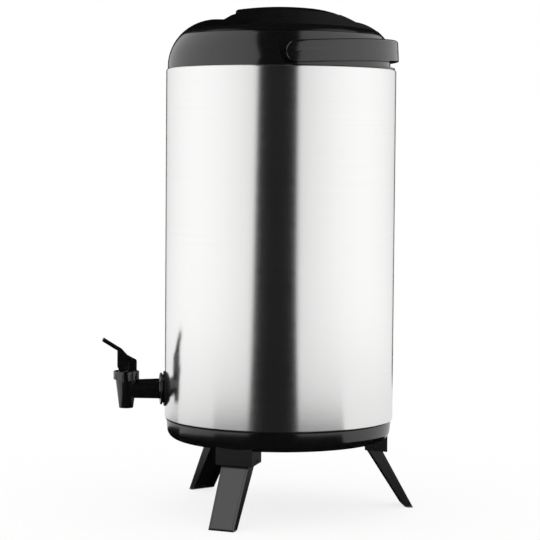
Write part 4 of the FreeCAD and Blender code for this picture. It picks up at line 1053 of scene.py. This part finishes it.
# Each row holds the flag's distance toward the camera, its left and right edges and its height, in metres
flagRows = [
    (0.3, -0.16, 0.10, 0.002), (3.2, -1.48, 0.93, 0.002), (3.2, -1.24, 0.93, 1.4), (2.3, -1.07, 0.78, 2.04),
    (0.28, -0.56, 0.41, 2.53), (-1.8, -1.75, 1.75, 2.5), (-6.5, -2.3, 2.3, 2.5), (-9.0, -3.0, 3.0, 2.0),
]
rearRows = [(-1.0, -0.46, 0.46, 0.002), (-1.0, -0.46, 0.46, 0.9)]

# Each sector on the floor holds its headings from and to, right of the camera being positive, and its radius
floorSectors = [(-180, -110, 0.55), (-110, -60, 0.43), (-60, 60, 0.5), (60, 180, 0.3)]
floorLevel = 0.0015


def asSeen(toward, right, up):
    heading = math.radians(viewHeading)
    return (
        toward * math.sin(heading) + right * math.cos(heading),
        -toward * math.cos(heading) + right * math.sin(heading), up,
    )


def stageItem(name, bm, material):
    mesh = bpy.data.meshes.new(name)
    bm.to_mesh(mesh)
    bm.free()
    mesh.materials.append(material)
    item = addObject(name, mesh)
    return item


def sideLight(paint, kind):
    # How far a direction points to either side, 1 there and 0 ahead and behind
    spot = paint.node("ShaderNodeTexCoord", output=kind)
    toward = paint.node("ShaderNodeVectorMath", {"operation": "NORMALIZE"}, {0: spot})
    inputs = {0: toward, 1: asSeen(0, 1, 0)}
    across = paint.node("ShaderNodeVectorMath", {"operation": "DOT_PRODUCT"}, inputs, 1)
    return paint.node("ShaderNodeMath", {"operation": "ABSOLUTE"}, {0: across})


def inGloss(paint, light):
    # The given light in reflections, and full light for every other ray
    return light.sum("MAXIMUM", light, 1 - paint.node("ShaderNodeLightPath", output="Is Glossy Ray"))


def makeStage(size):
    paint = Paint("studioWhite")
    paint.set(Base_Color=(0.98, 0.98, 0.98, 1), Roughness=0.8, Specular_IOR_Level=0.0)
    camera, glossy, transmitted = [
        paint.node("ShaderNodeLightPath", output=name)
        for name in ("Is Camera Ray", "Is Glossy Ray", "Is Transmission Ray")
    ]
    bright, dim = [
        paint.node("ShaderNodeEmission", {}, {"Color": (1, 1, 1, 1), "Strength": strength})
        for strength in (1.0, size["dimLight"])
    ]
    spot = paint.node("ShaderNodeTexCoord", output="Object")
    away = paint.node("ShaderNodeVectorMath", {"operation": "LENGTH"}, {0: spot}, 1)
    distant = paint.node("ShaderNodeMapRange", {}, {"Value": away, "From Max": size["brightFrom"]})
    light = inGloss(paint, sideLight(paint, "Object") * distant)
    glow = paint.node("ShaderNodeMixShader", {}, {0: light, 1: dim, 2: bright})
    share = (camera + glossy + transmitted) * size["backdropShare"]
    lit = Signal(paint, paint.shader.outputs[0])
    surface = paint.node("ShaderNodeMixShader", {}, {0: share, 1: lit, 2: glow})
    paint.feed(paint.output.inputs["Surface"], surface)
    floor = bmesh.new()
    bmesh.ops.create_grid(floor, x_segments=1, y_segments=1, size=size["floorSize"] / 2)
    stageItem("studio_floor", floor, paint.material)


def drawStrip(bm, rows):
    corners = [[bm.verts.new(asSeen(row[0], side, row[3])) for side in row[1:3]] for row in rows]
    for near, far in zip(corners, corners[1:]):
        bm.faces.new((near[0], near[1], far[1], far[0]))


def drawSector(bm, start, end, radius, steps=24):
    centre = bm.verts.new(asSeen(0, 0, floorLevel))
    rim = []
    for index in range(steps + 1):
        turn = math.radians(start + (end - start) * index / steps)
        rim.append(bm.verts.new(asSeen(radius * math.cos(turn), radius * math.sin(turn), floorLevel)))
    for near, far in zip(rim, rim[1:]):
        bm.faces.new((centre, near, far))


def makeFlags():
    paint = Paint("flagBlack")
    paint.set(Base_Color=(0.003, 0.003, 0.003, 1), Roughness=0.9, Specular_IOR_Level=0.0)
    shapes = {name: bmesh.new() for name in ("dark_slot", "dark_rear", "dark_floor")}
    drawStrip(shapes["dark_slot"], flagRows)
    drawStrip(shapes["dark_rear"], rearRows)
    for sector in floorSectors:
        drawSector(shapes["dark_floor"], *sector)
    for name, shape in shapes.items():
        flag = stageItem(name, shape, paint.material)
        for ray in ("camera", "shadow", "diffuse", "transmission"):
            setattr(flag, "visible_" + ray, False)


makeStage(studio)
makeFlags()

air = Paint("studioAir", bpy.data.worlds.new("studioAir"))
scene.world = air.material
air.set(Color=(1, 1, 1, 1), Strength=air.node("ShaderNodeMapRange", {}, {
    "Value": inGloss(air, sideLight(air, "Generated")), "To Min": studio["dimLight"], "To Max": 1.0,
}))

# Headings count from the tap's side towards the camera's
softBoxes = {
    "headings": {"softBoxLeft": 6.6, "softBoxRight": 158.6}, "distance": 2.1, "height": 0.9, "aim": 0.28,
    "width": 4.0, "tall": 3.0, "power": 5,
}


def makeLamps(size):
    for name, heading in size["headings"].items():
        data = bpy.data.lights.new(name, "AREA")
        data.shape = "ELLIPSE"
        data.size = size["width"]
        data.size_y = size["tall"]
        data.energy = size["power"]
        lamp = addObject(name, data)
        turn = math.radians(heading)
        at = Vector((math.sin(turn), -math.cos(turn), 0)) * size["distance"]
        at.z = size["height"]
        lamp.location = at
        lamp.rotation_euler = (Vector((0, 0, size["aim"])) - at).to_track_quat("-Z", "Y").to_euler()
        lamp.visible_camera = False
        lamp.visible_glossy = False


makeLamps(softBoxes)

cameraView = {
    "heading": 82.61, "distance": 1.98187, "height": 0.37111, "turn": 82.903, "tilt": 86.553, "roll": 0.456,
    "lens": 125.856, "sensor": 36,
}


def makeCamera(view):
    data = bpy.data.cameras.new("photoView")
    data.sensor_width = view["sensor"]
    data.lens = view["lens"]
    camera = addObject("photoView", data)
    heading = math.radians(view["heading"])
    stand = Matrix.Translation((
        view["distance"] * math.sin(heading), -view["distance"] * math.cos(heading), view["height"],
    ))
    turn, tilt, roll = [
        Matrix.Rotation(math.radians(view[key]), 4, axis)
        for key, axis in (("turn", "Z"), ("tilt", "X"), ("roll", "Z"))
    ]
    camera.matrix_world = stand @ turn @ tilt @ roll
    scene.camera = camera


makeCamera(cameraView)
scene.view_settings.view_transform = "Standard"

print("scene ready")
